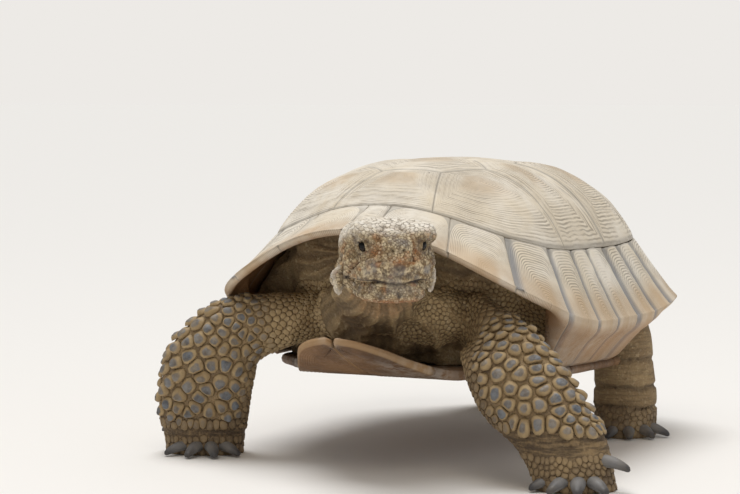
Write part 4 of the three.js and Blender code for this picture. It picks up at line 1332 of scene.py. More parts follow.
def fleshMarks(points):
    # markings, painted shade and painted top light that skin and scales share, from the place on the body alone
    p = bodyToHead(points)
    q = mirroredSide(p)
    onHead = (1 - smoothstep(headField(p), 2.5, 6.5)) * (1 - smoothstep(p[:, 1], 16, 28))
    near = {name: lineNearness(q, faceLines[name]) for name in ("cheek", "mouth", "noseSide", "cup", "flap")}
    cheek, along = near["cheek"]
    centre, out, up, back = eyeAxes(1)
    eyeAway = np.linalg.norm(q - (centre + out * eyeForm["radius"]), axis=1)
    inner = np.exp(-(np.linalg.norm((q - np.array([9.5, -17, 5.0])) / np.array([2.6, 3, 3.4]), axis=1)) ** 2)
    warm = 0.9 * inner + np.exp(-(cheek / 1.6) ** 2) * (0.9 - 0.5 * along)
    warm += 0.6 * np.exp(-(np.hypot(q[:, 0] / 1.6, q[:, 2] - 1.2) / 2.4) ** 2) * (q[:, 1] < -18)
    warm += 0.4 * smoothstep(grain(p, 3.6, 61), 0.2, 0.6)
    warm += 0.6 * smoothstep(-q[:, 2], 15, 19) + 0.5 * np.exp(-(near["noseSide"][0] / 1.8) ** 2)
    mouth, _ = near["mouth"]
    # painted shade in the mouth line, the cheek groove, the hollows by the jaw flaps and the troughs beside the nose
    darkSpotsAndShade = (0.8 + 0.6 * smoothstep(q[:, 0], 5, 12)) * np.exp(-(mouth / (0.6 + 0.4 * smoothstep(q[:, 0], 5, 14))) ** 2) + 0.9 * np.exp(-(cheek / 0.8) ** 2)
    darkSpotsAndShade += 0.9 * np.exp(-(near["cup"][0] / 1.5) ** 2)
    darkSpotsAndShade += 0.6 * np.exp(-(near["noseSide"][0] / 1.1) ** 2)
    # the dark spots on beak and lower jaw are the skin's own colour
    beak = np.exp(-(q[:, 0] / 8.5) ** 2) * np.exp(-((q[:, 2] + 4.6) / 4.2) ** 2) * (q[:, 1] < -12)
    darkSpotsAndShade += 0.9 * beak * smoothstep(grain(p, 2.3, 62), -0.3, 0.2)
    lower = np.exp(-((q[:, 2] + 15.2) / 2.4) ** 2) * (q[:, 1] < -14)
    darkSpotsAndShade += 0.9 * lower * smoothstep(grain(p, 2.8, 63), 0.2, 0.5)
    nose = np.exp(-(q[:, 0] / 7) ** 2) * np.exp(-((q[:, 2] - 9.5) / 3) ** 2) * (q[:, 1] < -16)
    upper = (q[:, 2] < 1) * (q[:, 2] > -9) * (q[:, 1] < -6)
    grey = 0.8 * nose * smoothstep(grain(p, 2.5, 65), -0.1, 0.3) + 0.25 * upper * smoothstep(grain(p, 3.1, 66), -0.1, 0.3)
    patch = np.exp(-(np.linalg.norm((q - np.array([12.6, -18.5, -3.6])) / np.array([2.5, 3.4, 2.3]), axis=1)) ** 4)
    lids = np.exp(-((eyeAway - 3.6) / 1.5) ** 2)
    grey += 0.95 * patch + 0.6 * lids + 0.6 * smoothstep(grain(p, 4.2, 64), 0.1, 0.55)
    nostril = np.linalg.norm(q - np.array([2.7, -25.3, 6.2]), axis=1)
    # painted shade in the nostrils
    darkSpotsAndShade += np.exp(-(nostril / 1.1) ** 2)
    # painted top light: the head whitens towards its top; the flaps by the jaw are made paler too
    pale = smoothstep(q[:, 2] + 0.25 * q[:, 1], 7, 13) + 0.7 * np.exp(-(near["flap"][0] / 1.3) ** 2)
    throat = smoothstep(-p[:, 2], 15, 19.5) * (1 - smoothstep(p[:, 1], 10, 30))
    throat *= (1 - smoothstep(np.abs(p[:, 0]), 17, 29)) * (1 - 0.7 * smoothstep(-p[:, 2], 34, 50))
    mouthLine = faceForm["mouth"]
    lipZ = np.interp(q[:, 0], [c[0] for c in mouthLine], [c[2] for c in mouthLine])
    topZ = np.interp(q[:, 0], *beakForm["top"])
    horn = smoothstep(topZ - q[:, 2], -0.3, 0.5) * smoothstep(q[:, 2] - lipZ, -0.3, 0.3)
    lip = smoothstep(q[:, 2] - lipZ, -beakForm["lip"] - 0.3, -beakForm["lip"] + 0.3)
    horn = np.maximum(horn, lip * (q[:, 2] < lipZ) * (q[:, 0] < 11)) * (q[:, 1] < -5) * (q[:, 0] < 20)
    return {"horn": horn * onHead, "onHead": onHead, "pale": np.clip(pale, 0, 1) * onHead, "warm": np.clip(warm, 0, 1) * onHead, "darkSpotsAndShade": np.clip(darkSpotsAndShade, 0, 1) * onHead,
            "grey": np.clip(grey, 0, 1) * onHead, "throat": np.clip(throat, 0, 1)}


def markFlesh(obj, points):
    for name, values in fleshMarks(points).items():
        setAttribute(obj, name, values)


def buildSkin(material):
    skin = buildSkinBase()
    trimHiddenTrunk(skin)
    refineHead(skin)
    wrinkleSkin(skin)
    markFlesh(skin, shapeHead(skin))
    p = toBody(getPoints(skin))
    part, share, angle = partOf(p)
    setAttribute(skin, "legs", (part >= 4) * smoothstep(share, 0.1, 0.35) * np.where(part > 5, 0.3, 1.0))
    skin.data.shade_smooth()
    facesOut(skin)
    finishPiece(skin, material, "soft_skin", "trunk", "neck", "head", "tail", *legNames)
    print("skin built:", len(skin.data.polygons), "faces")
    return skin


# ---- eyes
def eyeMaterial():
    material, tree, shader = newTree("eyeGloss")
    ring = attribute(tree, "gaze")
    place = objectPlace(tree)
    iris = blendColour(tree, noiseOf(tree, place, 1400, 3), "#150e08", "#2c1d10")
    white = blendColour(tree, spread(tree, ring, 0.62, 0.8), iris, "#33261a")
    colour = blendColour(tree, spread(tree, ring, 0.30, 0.36), "#030303", white)
    feed(tree, shader.inputs["Base Color"], colour)
    feed(tree, shader.inputs["Roughness"], spread(tree, noiseOf(tree, place, 300, 2), 0.2, 0.8, 0.06, 0.16))
    shader.inputs["Coat Weight"].default_value = 0.12
    shader.inputs["Specular IOR Level"].default_value = 0.16
    shader.inputs["Coat Roughness"].default_value = 0.04
    return material


def buildEyes(material):
    n = eyeForm["segments"]
    for side, label in ((1, "left"), (-1, "right")):
        centre, out, up, back = eyeAxes(side)

        def place(col, row):
            around, tip = 2 * math.pi * col / n, math.pi * row / (n // 2)
            r = eyeForm["radius"] * (1 + 0.045 * np.exp(-(tip / 0.45) ** 2))  # the cornea stands a little proud
            way = out * np.cos(tip)[:, None] + up * (np.sin(tip) * np.sin(around))[:, None]
            way = way + back * (np.sin(tip) * np.cos(around))[:, None]
            return toRow(headToBody(centre + way * r[:, None]))

        eye, col, row = closedForm(f"eye_{label}_ball", n, n // 2, place)
        setAttribute(eye, "gaze", np.sin(np.minimum(math.pi * row / (n // 2), math.pi / 2)))
        finishPiece(eye, material, "eye", f"eye_{label}")
    print("eyes built")


# ---- claws
clawForm = {
    "root": 10.5, "tip": 25.6, "rootHeight": 1.3, "tipHeight": 0.42, "flatness": 0.86, "slim": 0.82, "columns": 18, "rows": 22,
}


def clawMaterial(dust):
    material, tree, shader = newTree("clawHorn")
    place = objectPlace(tree)
    along = attribute(tree, "along")
    surface = useGroup(tree, dust, Place=place)
    streaks = noiseOf(tree, place, 320, 4, 0.6, 0.4)
    colour = blendColour(tree, streaks, "#66666a", "#86837e")
    colour = blendColour(tree, spread(tree, along, 0.5, 1.0), colour, "#403e3f")
    colour = blendColour(tree, maths(tree, "MULTIPLY", surface.outputs["Dust"], 0.35), colour, "#a3947b")
    feed(tree, shader.inputs["Base Color"], colour)
    feed(tree, shader.inputs["Roughness"], spread(tree, streaks, 0.3, 0.7, 0.42, 0.65))
    height = maths(tree, "ADD", streaks, maths(tree, "MULTIPLY", surface.outputs["Pits"], 0.4))
    feed(tree, shader.inputs["Normal"], bumpOf(tree, height, 0.0003, 0.5))
    return material


def buildClaws(material):
    f = clawForm
    for name in legNames:
        leg = limbForms[name]
        nails = []
        for k, heading in enumerate(leg["headings"]):
            lift = leg["outerLift"] if k == 0 else 0
            out = np.array([math.sin(deg(heading)), -math.cos(deg(heading)), 0])
            across = np.array([math.cos(deg(heading)), math.sin(deg(heading)), 0])
            size = leg["clawSize"] * f["slim"]

            def place(col, row):
                t = row / f["rows"]
                around = 2 * math.pi * col / f["columns"]
                swell = np.where(t < 0.12, np.sqrt(np.clip(t / 0.12, 0, 1)), 1) * (1 - 0.58 * t ** 2.2)
                swell = np.where(t > 0.93, swell * np.sqrt(np.clip((1 - t) / 0.07, 0, 1)), swell)
                wide = size * swell
                tall = wide * f["flatness"] * np.where(np.sin(around) < 0, 0.8, 1.0)
                level = size * mix(f["rootHeight"], f["tipHeight"], t) + lift + 0.9 * np.sin(t * math.pi)
                level = np.maximum(level, tall * 0.98 + 0.05)
                ridge = 1 + 0.02 * np.cos(around * 6) + 0.015 * np.sin(t * 60 + k)
                centre = np.array([*leg["foot"], 0]) + out * mix(f["root"], f["tip"] - 0.2, t)[:, None]
                point = centre + across * (np.cos(around) * wide * ridge * 0.96)[:, None]
                point[:, 2] += level + np.sin(around) * tall * ridge
                point[:, 2] = np.maximum(point[:, 2], 0.1)
                return toRow(point)

            nail, col, row = closedForm(f"nail{k}", f["columns"], f["rows"], place)
            setAttribute(nail, "along", row / f["rows"])
            nails.append(nail)
        clearSelection()
        for nail in nails:
            nail.select_set(True)
        bpy.context.view_layer.objects.active = nails[0]
        bpy.ops.object.join()
        nails[0].name = nails[0].data.name = f"claws_{name}"
        finishPiece(nails[0], material, "limb_skin")
    print("claws built")


# ---- materials of the flesh
fleshLook = {
    # the white is painted top light on the head; the near-black serves painted shade in the face's grooves, mouth and
    # nostrils and the dark spots of beak and jaw
    "neck": "#c2a87c", "neckDark": "#947b57", "neckPale": "#d6c09a", "head": "#dcc9a4", "headDark": "#7f6848", "fleck": "#5c4a36", "white": "#f3eee4", "headLight": "#e2d6bd",
    "warm": "#b5702f", "darkSpotsAndShade": "#2c2424", "grey": "#77767a", "throat": "#8c5632", "leg": "#917a58",
    "legDark": "#64523c", "foldShade": "#46382a", "scaleGrey": "#6f767f", "scaleShade": "#3f4248",
    "scaleTan": "#9a825d", "sand": "#b39c75",
}


def makeFleshGroup():
    # the animal's markings with painted shade and painted top light, the same on skin and scales
    look = fleshLook
    takes = [("Place", "Vector")] + [(label, "Float") for label in ("OnHead", "Warm", "DarkSpotsAndShade", "Grey", "PaleAndTopLight", "Throat", "Legs")]
    group, takes, gives = newGroup("fleshMarkingsLightAndShade", takes, (("Colour", "Color"), ("Coarse", "Float"), ("Fine", "Float")))
    place = takes.outputs["Place"]
    coarse = spread(group, noiseOf(group, place, 38, 4, 0.6), 0.35, 0.68)
    fine = noiseOf(group, place, 420, 4, 0.62)
    neck = blendColour(group, coarse, look["neckDark"], look["neck"])
    neck = blendColour(group, spread(group, fine, 0.5, 0.75), neck, look["neckPale"])
    legs = blendColour(group, coarse, look["legDark"], look["leg"])
    colour = blendColour(group, takes.outputs["Legs"], neck, legs)
    head = blendColour(group, spread(group, fine, 0.38, 0.62), look["headDark"], look["head"])
    flecks = spread(group, noiseOf(group, place, 760, 3, 0.6), 0.5, 0.6)
    head = blendColour(group, maths(group, "MULTIPLY", flecks, 0.62), head, look["fleck"])
    head = blendColour(group, maths(group, "MULTIPLY", takes.outputs["Grey"], 0.68), head, look["grey"])
    head = blendColour(group, maths(group, "MULTIPLY", takes.outputs["Warm"], 0.85), head, look["warm"])
    # painted top light whitens the top of the head, with the paler flaps by the jaw
    head = blendColour(group, maths(group, "MULTIPLY", takes.outputs["PaleAndTopLight"], 0.85), head, look["white"])
    # painted shade in the face's grooves, mouth and nostrils, with the dark spots of beak and lower jaw
    head = blendColour(group, maths(group, "MULTIPLY", takes.outputs["DarkSpotsAndShade"], 0.95), head, look["darkSpotsAndShade"])
    colour = blendColour(group, takes.outputs["OnHead"], colour, head)
    red = maths(group, "MULTIPLY", takes.outputs["Throat"], 0.88)
    colour = blendColour(group, red, colour, look["throat"])
    group.links.new(colour, gives.inputs["Colour"])
    group.links.new(coarse, gives.inputs["Coarse"])
    group.links.new(fine, gives.inputs["Fine"])
    return group


def fleshOn(tree, group):
    labels = {"OnHead": "onHead", "Warm": "warm", "DarkSpotsAndShade": "darkSpotsAndShade", "Grey": "grey", "PaleAndTopLight": "pale", "Throat": "throat", "Legs": "legs"}
    values = {label: attribute(tree, name) for label, name in labels.items()}
    return useGroup(tree, group, Place=objectPlace(tree), **values)


def skinMaterial(flesh):
    material, tree, shader = newTree("skinHide")
    marks = fleshOn(tree, flesh)
    place = objectPlace(tree)
    horn = attribute(tree, "horn")
    hide = maths(tree, "SUBTRACT", 1.0, maths(tree, "MULTIPLY", horn, 0.5))
    pebble = maths(tree, "MULTIPLY", cellsOf(tree, place, 860), hide)
    # fine upright wrinkles of neck and shoulders
    creases = spread(tree, noiseOf(tree, flattened(tree, place, (420, 420, 230)), 1, 4, 0.62), 0.36, 0.6)
    creases = maths(tree, "MULTIPLY", maths(tree, "SUBTRACT", 1.0, creases), hide)
    pebble = maths(tree, "ADD", maths(tree, "MULTIPLY", pebble, 0.9), maths(tree, "MULTIPLY", creases, 0.22))
    # painted shade: the colour darkens in the low gaps between the pebbles and in the fine creases
    colour = blendColour(tree, maths(tree, "MULTIPLY", spread(tree, pebble, 0.3, 1.0), 0.6),
                         marks.outputs["Colour"], fleshLook["neckDark"])
    feed(tree, shader.inputs["Roughness"], spread(tree, marks.outputs["Fine"], 0.3, 0.7, 0.66, 0.86))
    colour = blendColour(tree, maths(tree, "MULTIPLY", attribute(tree, "fold"), 0.72), colour, fleshLook["foldShade"])
    # fine lines across wrists and hind legs
    lined = attribute(tree, "lined")
    lines = spread(tree, noiseOf(tree, flattened(tree, place, (90, 90, 620)), 1, 3, 0.6), 0.38, 0.56)
    gaps = maths(tree, "MULTIPLY", maths(tree, "SUBTRACT", 1.0, lines), lined)
    colour = blendColour(tree, maths(tree, "MULTIPLY", gaps, 0.75), colour, fleshLook["foldShade"])
    pebble = maths(tree, "ADD", pebble, gaps)
    feed(tree, shader.inputs["Base Color"], colour)
    height = maths(tree, "ADD", maths(tree, "MULTIPLY", pebble, -1.0), maths(tree, "MULTIPLY", marks.outputs["Fine"], 0.6))
    feed(tree, shader.inputs["Normal"], bumpOf(tree, height, 0.0007, 0.7))
    return material


# ---- scales: seeds spread over the skin, each scale filling its own cell between its neighbours
coatForm = {
    "candidates": 90000, "relax": 3, "neighbours": 18, "batch": 3000, "patch": 0.0015, "fill": 1.01,
    "sink": 0.22, "overhang": 0.38, "longest": 1.35,
    # spacing along a foreleg at shares of its length, in mm
    "foreShares": (0, 0.14, 0.2, 0.27, 0.36, 0.5, 0.8, 1), "foreSizes": (2.4, 2.6, 3.4, 5.8, 7.4, 7.8, 7.2, 5),
    "wrist": {4: 17, 5: 27}, "wristSize": 3.0, "wristBare": {4: 2.6, 5: 5.5}, "hindBare": 16, "backSize": 3.4, "hindSize": 3.1, "tailSize": 2.6,
    "headSizes": {"top": 2.7, "side": 2.1, "face": 1.5, "eye": 1.2, "jaw": 1.25},
    # height of a scale against its spacing, by kind: large, small, hind leg, head
    "heights": {"large": 0.34, "small": 0.17, "hind": 0.08, "head": 0.1},
    # rings of a scale: shares of the way out, and heights against its middle
    "domed": ((0.28, 0.5, 0.68, 0.86, 1.0), (0.98, 0.88, 0.66, 0.34, 0.03)),
    "small": ((0.4, 0.75, 1.0), (0.97, 0.7, 0.08)), "flat": ((0.45, 0.78, 1.0), (0.99, 0.9, 0.12)),
    "directions": (10, 14), "largeFrom": 5.2,
}
partNames = {1: "head", 3: "tail", 4: "foreleg_right", 5: "foreleg_left", 6: "hindleg_right", 7: "hindleg_left"}


def scaleSizes(p, part, share, angle):
    # spacing of the scales at each point, 0 where there are none
    f = coatForm
    size = np.zeros(len(p))
    for leg, outSide in ((4, -1), (5, 1)):
        on = part == leg
        cover = smoothstep(0.35 - np.sin(angle) * 0.9 + outSide * np.cos(angle) * 0.5, 0.0, 0.75)
        along = np.interp(share, f["foreShares"], f["foreSizes"])
        wrist = 1 - smoothstep(p[:, 2], f["wrist"][leg] - 3, f["wrist"][leg] + 4)
        along = mix(along, f["wristSize"] + 0.8 * (p[:, 2] < 9), wrist)
        size[on] = mix(np.minimum(along, f["backSize"]), along, cover)[on]
        size[on & (share < 0.06)] = 0
        size[on & (np.abs(p[:, 2] - f["wrist"][leg] + 5) < f["wristBare"][leg] + 1.2 * grain(p, 6, 71))] = 0
    hind = (part == 6) | (part == 7)
    size[hind] = (f["hindSize"] + 1.1 * (1 - smoothstep(p[:, 2], 8, 16)))[hind]
    size[hind & ((share < 0.05) | (p[:, 2] > f["hindBare"] + 2 * grain(p, 8, 72)))] = 0
    size[part == 3] = f["tailSize"]
    q = bodyToHead(p)
    head = part == 1
    h = f["headSizes"]
    onTop = smoothstep(q[:, 2], 9, 15) * smoothstep(q[:, 1], -24, -14)
    face = mix(h["face"], h["jaw"], smoothstep(-q[:, 2], 9, 13))
    onHead = mix(mix(face, h["side"], smoothstep(q[:, 1], -16, 2)), h["top"], onTop)
    for side in (1, -1):
        centre, out, up, back = eyeAxes(side)
        away = np.linalg.norm(q - (centre + out * 3), axis=1)
        onHead = mix(h["eye"], onHead, smoothstep(away, 4.5, 8.5))
        onHead = np.where(away < 4.0, 0, onHead)
    qm = mirroredSide(q)
    near = {name: lineNearness(qm, faceLines[name])[0] for name in ("mouth", "cheek", "noseSide", "flap", "cup")}
    bare = (near["mouth"] < 1.4) | (near["cheek"] < 0.8) | (near["noseSide"] < 0.7) | (near["flap"] < 1.8) | (near["cup"] < 1.6)
    onHead = np.where(bare | (fleshMarks(p)["horn"] > 0.4), 0, onHead)
    nostril = np.linalg.norm(qm - np.array([2.7, -25.3, 6.2]), axis=1)
    onHead = np.where((nostril < 1.5) | (q[:, 1] > 21) | ((q[:, 2] < -18) & (q[:, 1] > -16)), 0, onHead)
    size[head] = onHead[head]
    sole = (part >= 4) & (p[:, 2] < 0.9)
    size[sole] = 0
    for leg in legNames:  # room for the claws
        form = limbForms[leg]
        for k, heading in enumerate(form["headings"]):
            out = np.array([math.sin(deg(heading)), -math.cos(deg(heading)), 0])
            root = np.array([*form["foot"], form["clawSize"] + (form["outerLift"] if k == 0 else 0)]) + out * 19
            size[np.linalg.norm(p - root, axis=1) < form["clawSize"] * 0.8] = 0
    return size


def scatterSeeds(skin):
    mesh = skin.data
    mesh.calc_loop_triangles()
    tris = np.empty(len(mesh.loop_triangles) * 3, np.int64)
    mesh.loop_triangles.foreach_get("vertices", tris)
    tris = tris.reshape(-1, 3)
    points = toBody(getPoints(skin))
    a, b, c = (points[tris[:, k]] for k in range(3))
    middle = (a + b + c) / 3
    area = np.linalg.norm(np.cross(b - a, c - a), axis=1) / 2
    part, share, angle = partOf(middle)
    size = scaleSizes(middle, part, share, angle)
    weight = np.where(size > 0, area / np.maximum(size, 0.5) ** 2, 0)
    chosen = rng.choice(len(tris), coatForm["candidates"], p=weight / weight.sum())
    u, v = rng.random((2, len(chosen)))
    flip = u + v > 1
    u, v = np.where(flip, 1 - u, u), np.where(flip, 1 - v, v)
    cloud = a[chosen] + (b - a)[chosen] * u[:, None] + (c - a)[chosen] * v[:, None]
    part, share, angle = partOf(cloud)
    size = scaleSizes(cloud, part, share, angle)
    keep = size > 0
    cloud, size = cloud[keep], size[keep]
    spacing = size * rng.uniform(0.62, 1.02, len(size))
    accepted = []
    for start in range(0, len(cloud), coatForm["batch"]):
        ids = np.arange(start, min(start + coatForm["batch"], len(cloud)))
        if accepted:
            tree = KDTree(len(accepted))
            for k in accepted:
                tree.insert(cloud[k], k)
            tree.balance()
            ids = [i for i in ids if tree.find(cloud[i])[2] > spacing[i]]
        fresh = []
        for i in ids:
            if not fresh or (((cloud[fresh] - cloud[i]) ** 2).sum(1) > spacing[i] ** 2).all():
                fresh.append(i)
        accepted += fresh
    seeds = cloud[accepted]
    for _ in range(coatForm["relax"]):
        tree = KDTree(len(seeds))
        for k, seed in enumerate(seeds):
            tree.insert(seed, k)
        tree.balance()
        owner = np.array([tree.find(point)[1] for point in cloud])
        count = np.bincount(owner, minlength=len(seeds))
        total = np.stack([np.bincount(owner, cloud[:, k], len(seeds)) for k in range(3)], -1)
        centre = total / np.maximum(count, 1)[:, None]
        seeds = np.where((count > 2)[:, None], mix(seeds, centre, 0.7), seeds)
    print("seeds:", len(seeds))
    return seeds


def buildCoat(skin, material):
    f = coatForm
    seeds = scatterSeeds(skin)
    surface = BVHTree.FromPolygons([tuple(v) for v in toBody(getPoints(skin))],
                                   [tuple(face.vertices) for face in skin.data.polygons])
    normals = np.empty_like(seeds)
    for k, seed in enumerate(seeds):
        place, normal, _, _ = surface.find_nearest(Vector(seed))
        seeds[k], normals[k] = place, normal
    part, share, angle = partOf(seeds)
    size = scaleSizes(seeds, part, share, angle)
    keep = size > 0
    seeds, normals, part, share, angle, size = (v[keep] for v in (seeds, normals, part, share, angle, size))
    tree = KDTree(len(seeds))
    for k, seed in enumerate(seeds):
        tree.insert(seed, k)
    tree.balance()
    near = np.array([[n[1] for n in tree.find_n(seed, f["neighbours"])] for seed in seeds])
    # the way each scale points: down its limb, or back along the head
    along = np.zeros_like(seeds)
    along[part == 1] = headToBody(np.array([[0, 1.0, -0.25]]))[0] - headToBody(np.zeros((1, 3)))[0]
    for k, name in ((3, "tail"), *enumerate(legNames, 4)):
        on = part == k
        along[on] = limbLine(limbForms[name], share[on])[1]
    along -= normals * (along * normals).sum(1)[:, None]
    along /= np.linalg.norm(along, axis=1, keepdims=True) + 1e-9
    across = np.cross(normals, along)
    way = seeds[near[:, 1:]] - seeds[:, None, :]
    facing = (normals[near[:, 1:]] * normals[:, None, :]).sum(-1)
    x = (way * along[:, None, :]).sum(-1)
    y = (way * across[:, None, :]).sum(-1)
    squared = x * x + y * y
    squared = np.where(facing > 0.1, squared, 1e6)
    tone = rng.random(len(seeds))
    for k, name in partNames.items():
        for large in (False, True):
            mine = np.flatnonzero((part == k) & ((size > f["largeFrom"]) == large))
            if len(mine) == 0:
                continue
            count = f["directions"][large]
            rings = "domed" if large else "flat" if k == 1 or k > 5 else "small"
            theta = 2 * math.pi * np.arange(count) / count
            c, s = np.cos(theta), np.sin(theta)
            reach = x[mine][:, :, None] * c + y[mine][:, :, None] * s
            limit = np.where(reach > 1e-6, squared[mine][:, :, None] / 2 / np.maximum(reach, 1e-6), 1e6).min(1)
            limit = np.minimum(limit, (size[mine] * f["longest"] / 1.6)[:, None]) * f["fill"] * (0.93 if large else 1)
            # corners are softened a little
            limit = 0.64 * limit + 0.18 * (np.roll(limit, 1, 1) + np.roll(limit, -1, 1))
            kind = "head" if k == 1 else "hind" if k in (6, 7) else "large" if large else "small"
            tall = size[mine] * f["heights"][kind] * (0.8 + 0.4 * tone[mine])
            coatPart(f"scales_{name}" + ("_large" if large else ""), surface, mine, seeds, normals, along, across,
                     limit, theta, rings, tall, size, tone, share, angle, material, k)
    print("coat built")


def coatPart(name, surface, mine, seeds, normals, along, across, limit, theta, rings, tall, size, tone, share,
             angle, material, k):
    f = coatForm
    count = len(theta)
    n = len(mine)
    levels, profile = (np.array(v) for v in f[rings])
    rings = len(levels)
    seed, normal, down, side = seeds[mine], normals[mine], along[mine], across[mine]
    # ring points, from the inside out
    r = limit[:, None, :] * levels[None, :, None]
    lean = 0.10 * size[mine][:, None, None] * (1 - levels[None, :, None] ** 2)
    x = r * np.cos(theta) + lean
    y = r * np.sin(theta)
    flat = seed[:, None, None, :] + x[..., None] * down[:, None, None, :] + y[..., None] * side[:, None, None, :]
    points = flat.reshape(-1, 3)
    snapped, facing = np.empty_like(points), np.empty_like(points)
    for i, point in enumerate(points):
        place, outward, _, _ = surface.find_nearest(Vector(point))
        snapped[i], facing[i] = place, outward
    snapped = snapped.reshape(n, rings, count, 3)
    facing = facing.reshape(n, rings, count, 3)
    facing = facing + 0.8 * normal[:, None, None, :]
    facing /= np.linalg.norm(facing, axis=-1, keepdims=True)
    tilt = 1 + 0.28 * np.cos(theta)[None, None, :] * levels[None, :, None]
    height = tall[:, None, None] * profile[None, :, None] * tilt
    # the far edge of a leg's scale stands free over the next one
    overhang = f["overhang"] * (k > 3) * np.clip(np.cos(theta), 0, 1)[None, None, :] * levels[None, :, None] ** 3
    height = height + tall[:, None, None] * overhang
    lump = 1 + 0.10 * grain(snapped, 1.1, 77)
    ring = snapped + facing * (height * lump)[..., None]
    top = seed + down * (0.10 * size[mine])[:, None] + normal * (tall * 1.02)[:, None]
    bottom = seed - normal * (f["sink"] + 0.06 * size[mine])[:, None]
    block = np.concatenate([top[:, None], ring.reshape(n, -1, 3), bottom[:, None]], 1)
    block[..., 2] = np.maximum(block[..., 2], 0.12)
    per = block.shape[1]
    faces = []
    for j in range(count):
        j2 = (j + 1) % count
        faces.append((0, 1 + j, 1 + j2))
        for m in range(rings - 1):
            a, b = 1 + m * count, 1 + (m + 1) * count
            faces.append((a + j, b + j, b + j2, a + j2))
        last = 1 + (rings - 1) * count
        faces.append((last + j2, last + j, per - 1))
    base = np.arange(n)[:, None] * per
    allFaces = []
    for face in faces:
        allFaces.append((base + np.array(face)[None]).tolist())
    polygons = [tuple(f2) for group in zip(*allFaces) for f2 in group]
    mesh = bpy.data.meshes.new(name)
    mesh.from_pydata(toRow(block.reshape(-1, 3)).tolist(), [], polygons)
    obj = bpy.data.objects.new(name, mesh)
    bpy.context.scene.collection.objects.link(obj)
    facesOut(obj)
    mesh.shade_smooth()
    shares = np.concatenate([[0], np.repeat(levels, count), [1]])
    setAttribute(obj, "rim", np.tile(shares, n))
    setAttribute(obj, "tone", np.repeat(tone[mine], per))
    setAttribute(obj, "large", np.repeat(smoothstep(size[mine], 3.6, 6.5), per))
    setAttribute(obj, "legs", np.repeat((k >= 4) * smoothstep(share[mine], 0.1, 0.4), per))
    markFlesh(obj, block.reshape(-1, 3))
    # each scale's small patch at its root's place on the unrolled limb
    if k == 1:
        local = bodyToHead(seed)
        u, v = (np.arctan2(local[:, 0], local[:, 2] + 2) / math.pi + 1) / 2, (local[:, 1] + 30) / 60
    else:
        u, v = (angle[mine] / math.pi + 1) / 2, share[mine]
    rootUv = np.stack([0.03 + 0.94 * u, 0.03 + 0.94 * v], -1)
    around = np.concatenate([[0], np.tile(theta, rings), [0]])
    offset = f["patch"] * np.stack([np.cos(around), np.sin(around)], -1) * shares[:, None]
    offset[-1] = 0
    uv = (rootUv[:, None, :] + offset[None]).reshape(-1, 2)
    layer = mesh.uv_layers.new(name="OFBake")
    loops = np.empty(len(mesh.loops), np.int64)
    mesh.loops.foreach_get("vertex_index", loops)
    layer.data.foreach_set("uv", np.ascontiguousarray(uv[loops], np.float32).ravel())
    finishPiece(obj, material, "head_skin" if k == 1 else "limb_skin")
    print(name, n, "scales,", len(polygons), "faces")


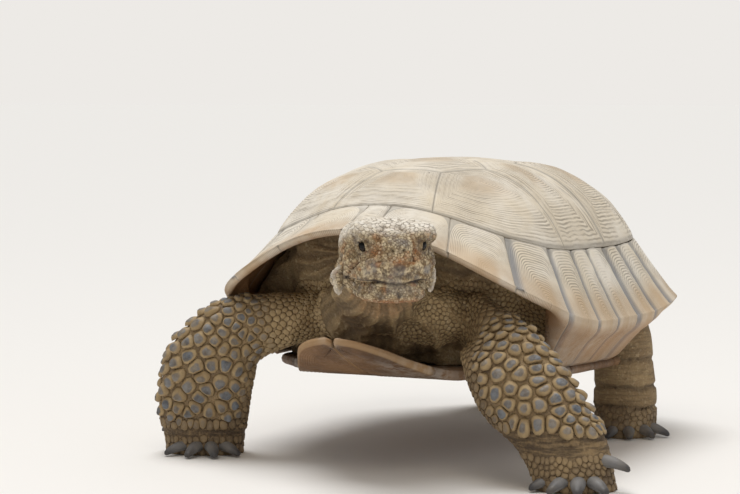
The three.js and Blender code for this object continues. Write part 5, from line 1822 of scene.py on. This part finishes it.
def scaleMaterial(flesh, dust):
    material, tree, shader = newTree("scaleHorn")
    marks = fleshOn(tree, flesh)
    place = objectPlace(tree)
    rimShare, tone, large = (attribute(tree, name) for name in ("rim", "tone", "large"))
    surface = useGroup(tree, dust, Place=place)
    mottle = noiseOf(tree, place, 260, 4, 0.62)
    capEdge = maths(tree, "ADD", rimShare, maths(tree, "MULTIPLY", maths(tree, "SUBTRACT", mottle, 0.5), 0.5))
    capEdge = maths(tree, "ADD", capEdge, maths(tree, "MULTIPLY", maths(tree, "SUBTRACT", tone, 0.5), 0.2))
    cap = maths(tree, "SUBTRACT", 1.0, spread(tree, capEdge, 0.46, 0.7))
    tan = blendColour(tree, spread(tree, mottle, 0.35, 0.65), fleshLook["scaleTan"], fleshLook["sand"])
    tan = blendColour(tree, maths(tree, "MULTIPLY", tone, 0.45), tan, fleshLook["leg"])
    grey = blendColour(tree, spread(tree, mottle, 0.3, 0.7), fleshLook["scaleGrey"], fleshLook["scaleShade"])
    grey = blendColour(tree, maths(tree, "MULTIPLY", tone, 0.35), grey, fleshLook["scaleTan"])
    big = blendColour(tree, cap, tan, grey)
    small = blendColour(tree, maths(tree, "MULTIPLY", tone, 0.5), marks.outputs["Colour"], fleshLook["scaleTan"])
    # painted highlight: the top of each small scale is made lighter
    small = blendColour(tree, spread(tree, maths(tree, "SUBTRACT", 1.0, rimShare), 0.4, 1.0, 0.0, 0.25), small, fleshLook["sand"])
    colour = blendColour(tree, large, small, big)
    onHead = attribute(tree, "onHead")
    headTone = blendColour(tree, maths(tree, "MULTIPLY", spread(tree, tone, 0.5, 1.0), 0.3), marks.outputs["Colour"],
                           fleshLook["headLight"])
    headTone = blendColour(tree, spread(tree, tone, 0.3, 0.0, 0.0, 0.4), headTone, fleshLook["headDark"])
    colour = blendColour(tree, onHead, colour, headTone)
    # painted shade: each scale darkens towards its edge, down in the gaps between scales, less on large scales and pale
    # parts, more on the head
    creviceShadeStrength = maths(tree, "ADD", 0.55, maths(tree, "MULTIPLY", large, -0.4))
    creviceShadeStrength = maths(tree, "ADD", creviceShadeStrength, maths(tree, "MULTIPLY", onHead, 0.38))
    creviceShadeStrength = maths(tree, "ADD", creviceShadeStrength, maths(tree, "MULTIPLY", attribute(tree, "pale"), -0.4))
    creviceShade = maths(tree, "MULTIPLY", spread(tree, rimShare, 0.72, 1.0), creviceShadeStrength)
    colour = blendColour(tree, creviceShade, colour, fleshLook["legDark"])
    colour = blendColour(tree, maths(tree, "MULTIPLY", surface.outputs["Dust"], 0.3), colour, fleshLook["sand"])
    feed(tree, shader.inputs["Base Color"], colour)
    feed(tree, shader.inputs["Roughness"], spread(tree, mottle, 0.3, 0.7, 0.55, 0.8))
    height = maths(tree, "ADD", maths(tree, "MULTIPLY", mottle, 0.8), maths(tree, "MULTIPLY", surface.outputs["Pits"], 0.4))
    feed(tree, shader.inputs["Normal"], bumpOf(tree, height, 0.0005, 0.6))
    return material


# ---- the whole model
setStage()
growthLines = makeGrowthGroup()
dustAndPits = makeDustGroup()
fleshMarkingsLightAndShade = makeFleshGroup()
domeHorn, rimHorn, bellyHorn = (plateMaterial(kind, growthLines, dustAndPits) for kind in ("dome", "rim", "belly"))
buildDome(domeHorn)
buildRim(rimHorn)
buildBelly(bellyHorn)
skin = buildSkin(skinMaterial(fleshMarkingsLightAndShade))
buildCoat(skin, scaleMaterial(fleshMarkingsLightAndShade, dustAndPits))
buildEyes(eyeMaterial())
buildClaws(clawMaterial(dustAndPits))
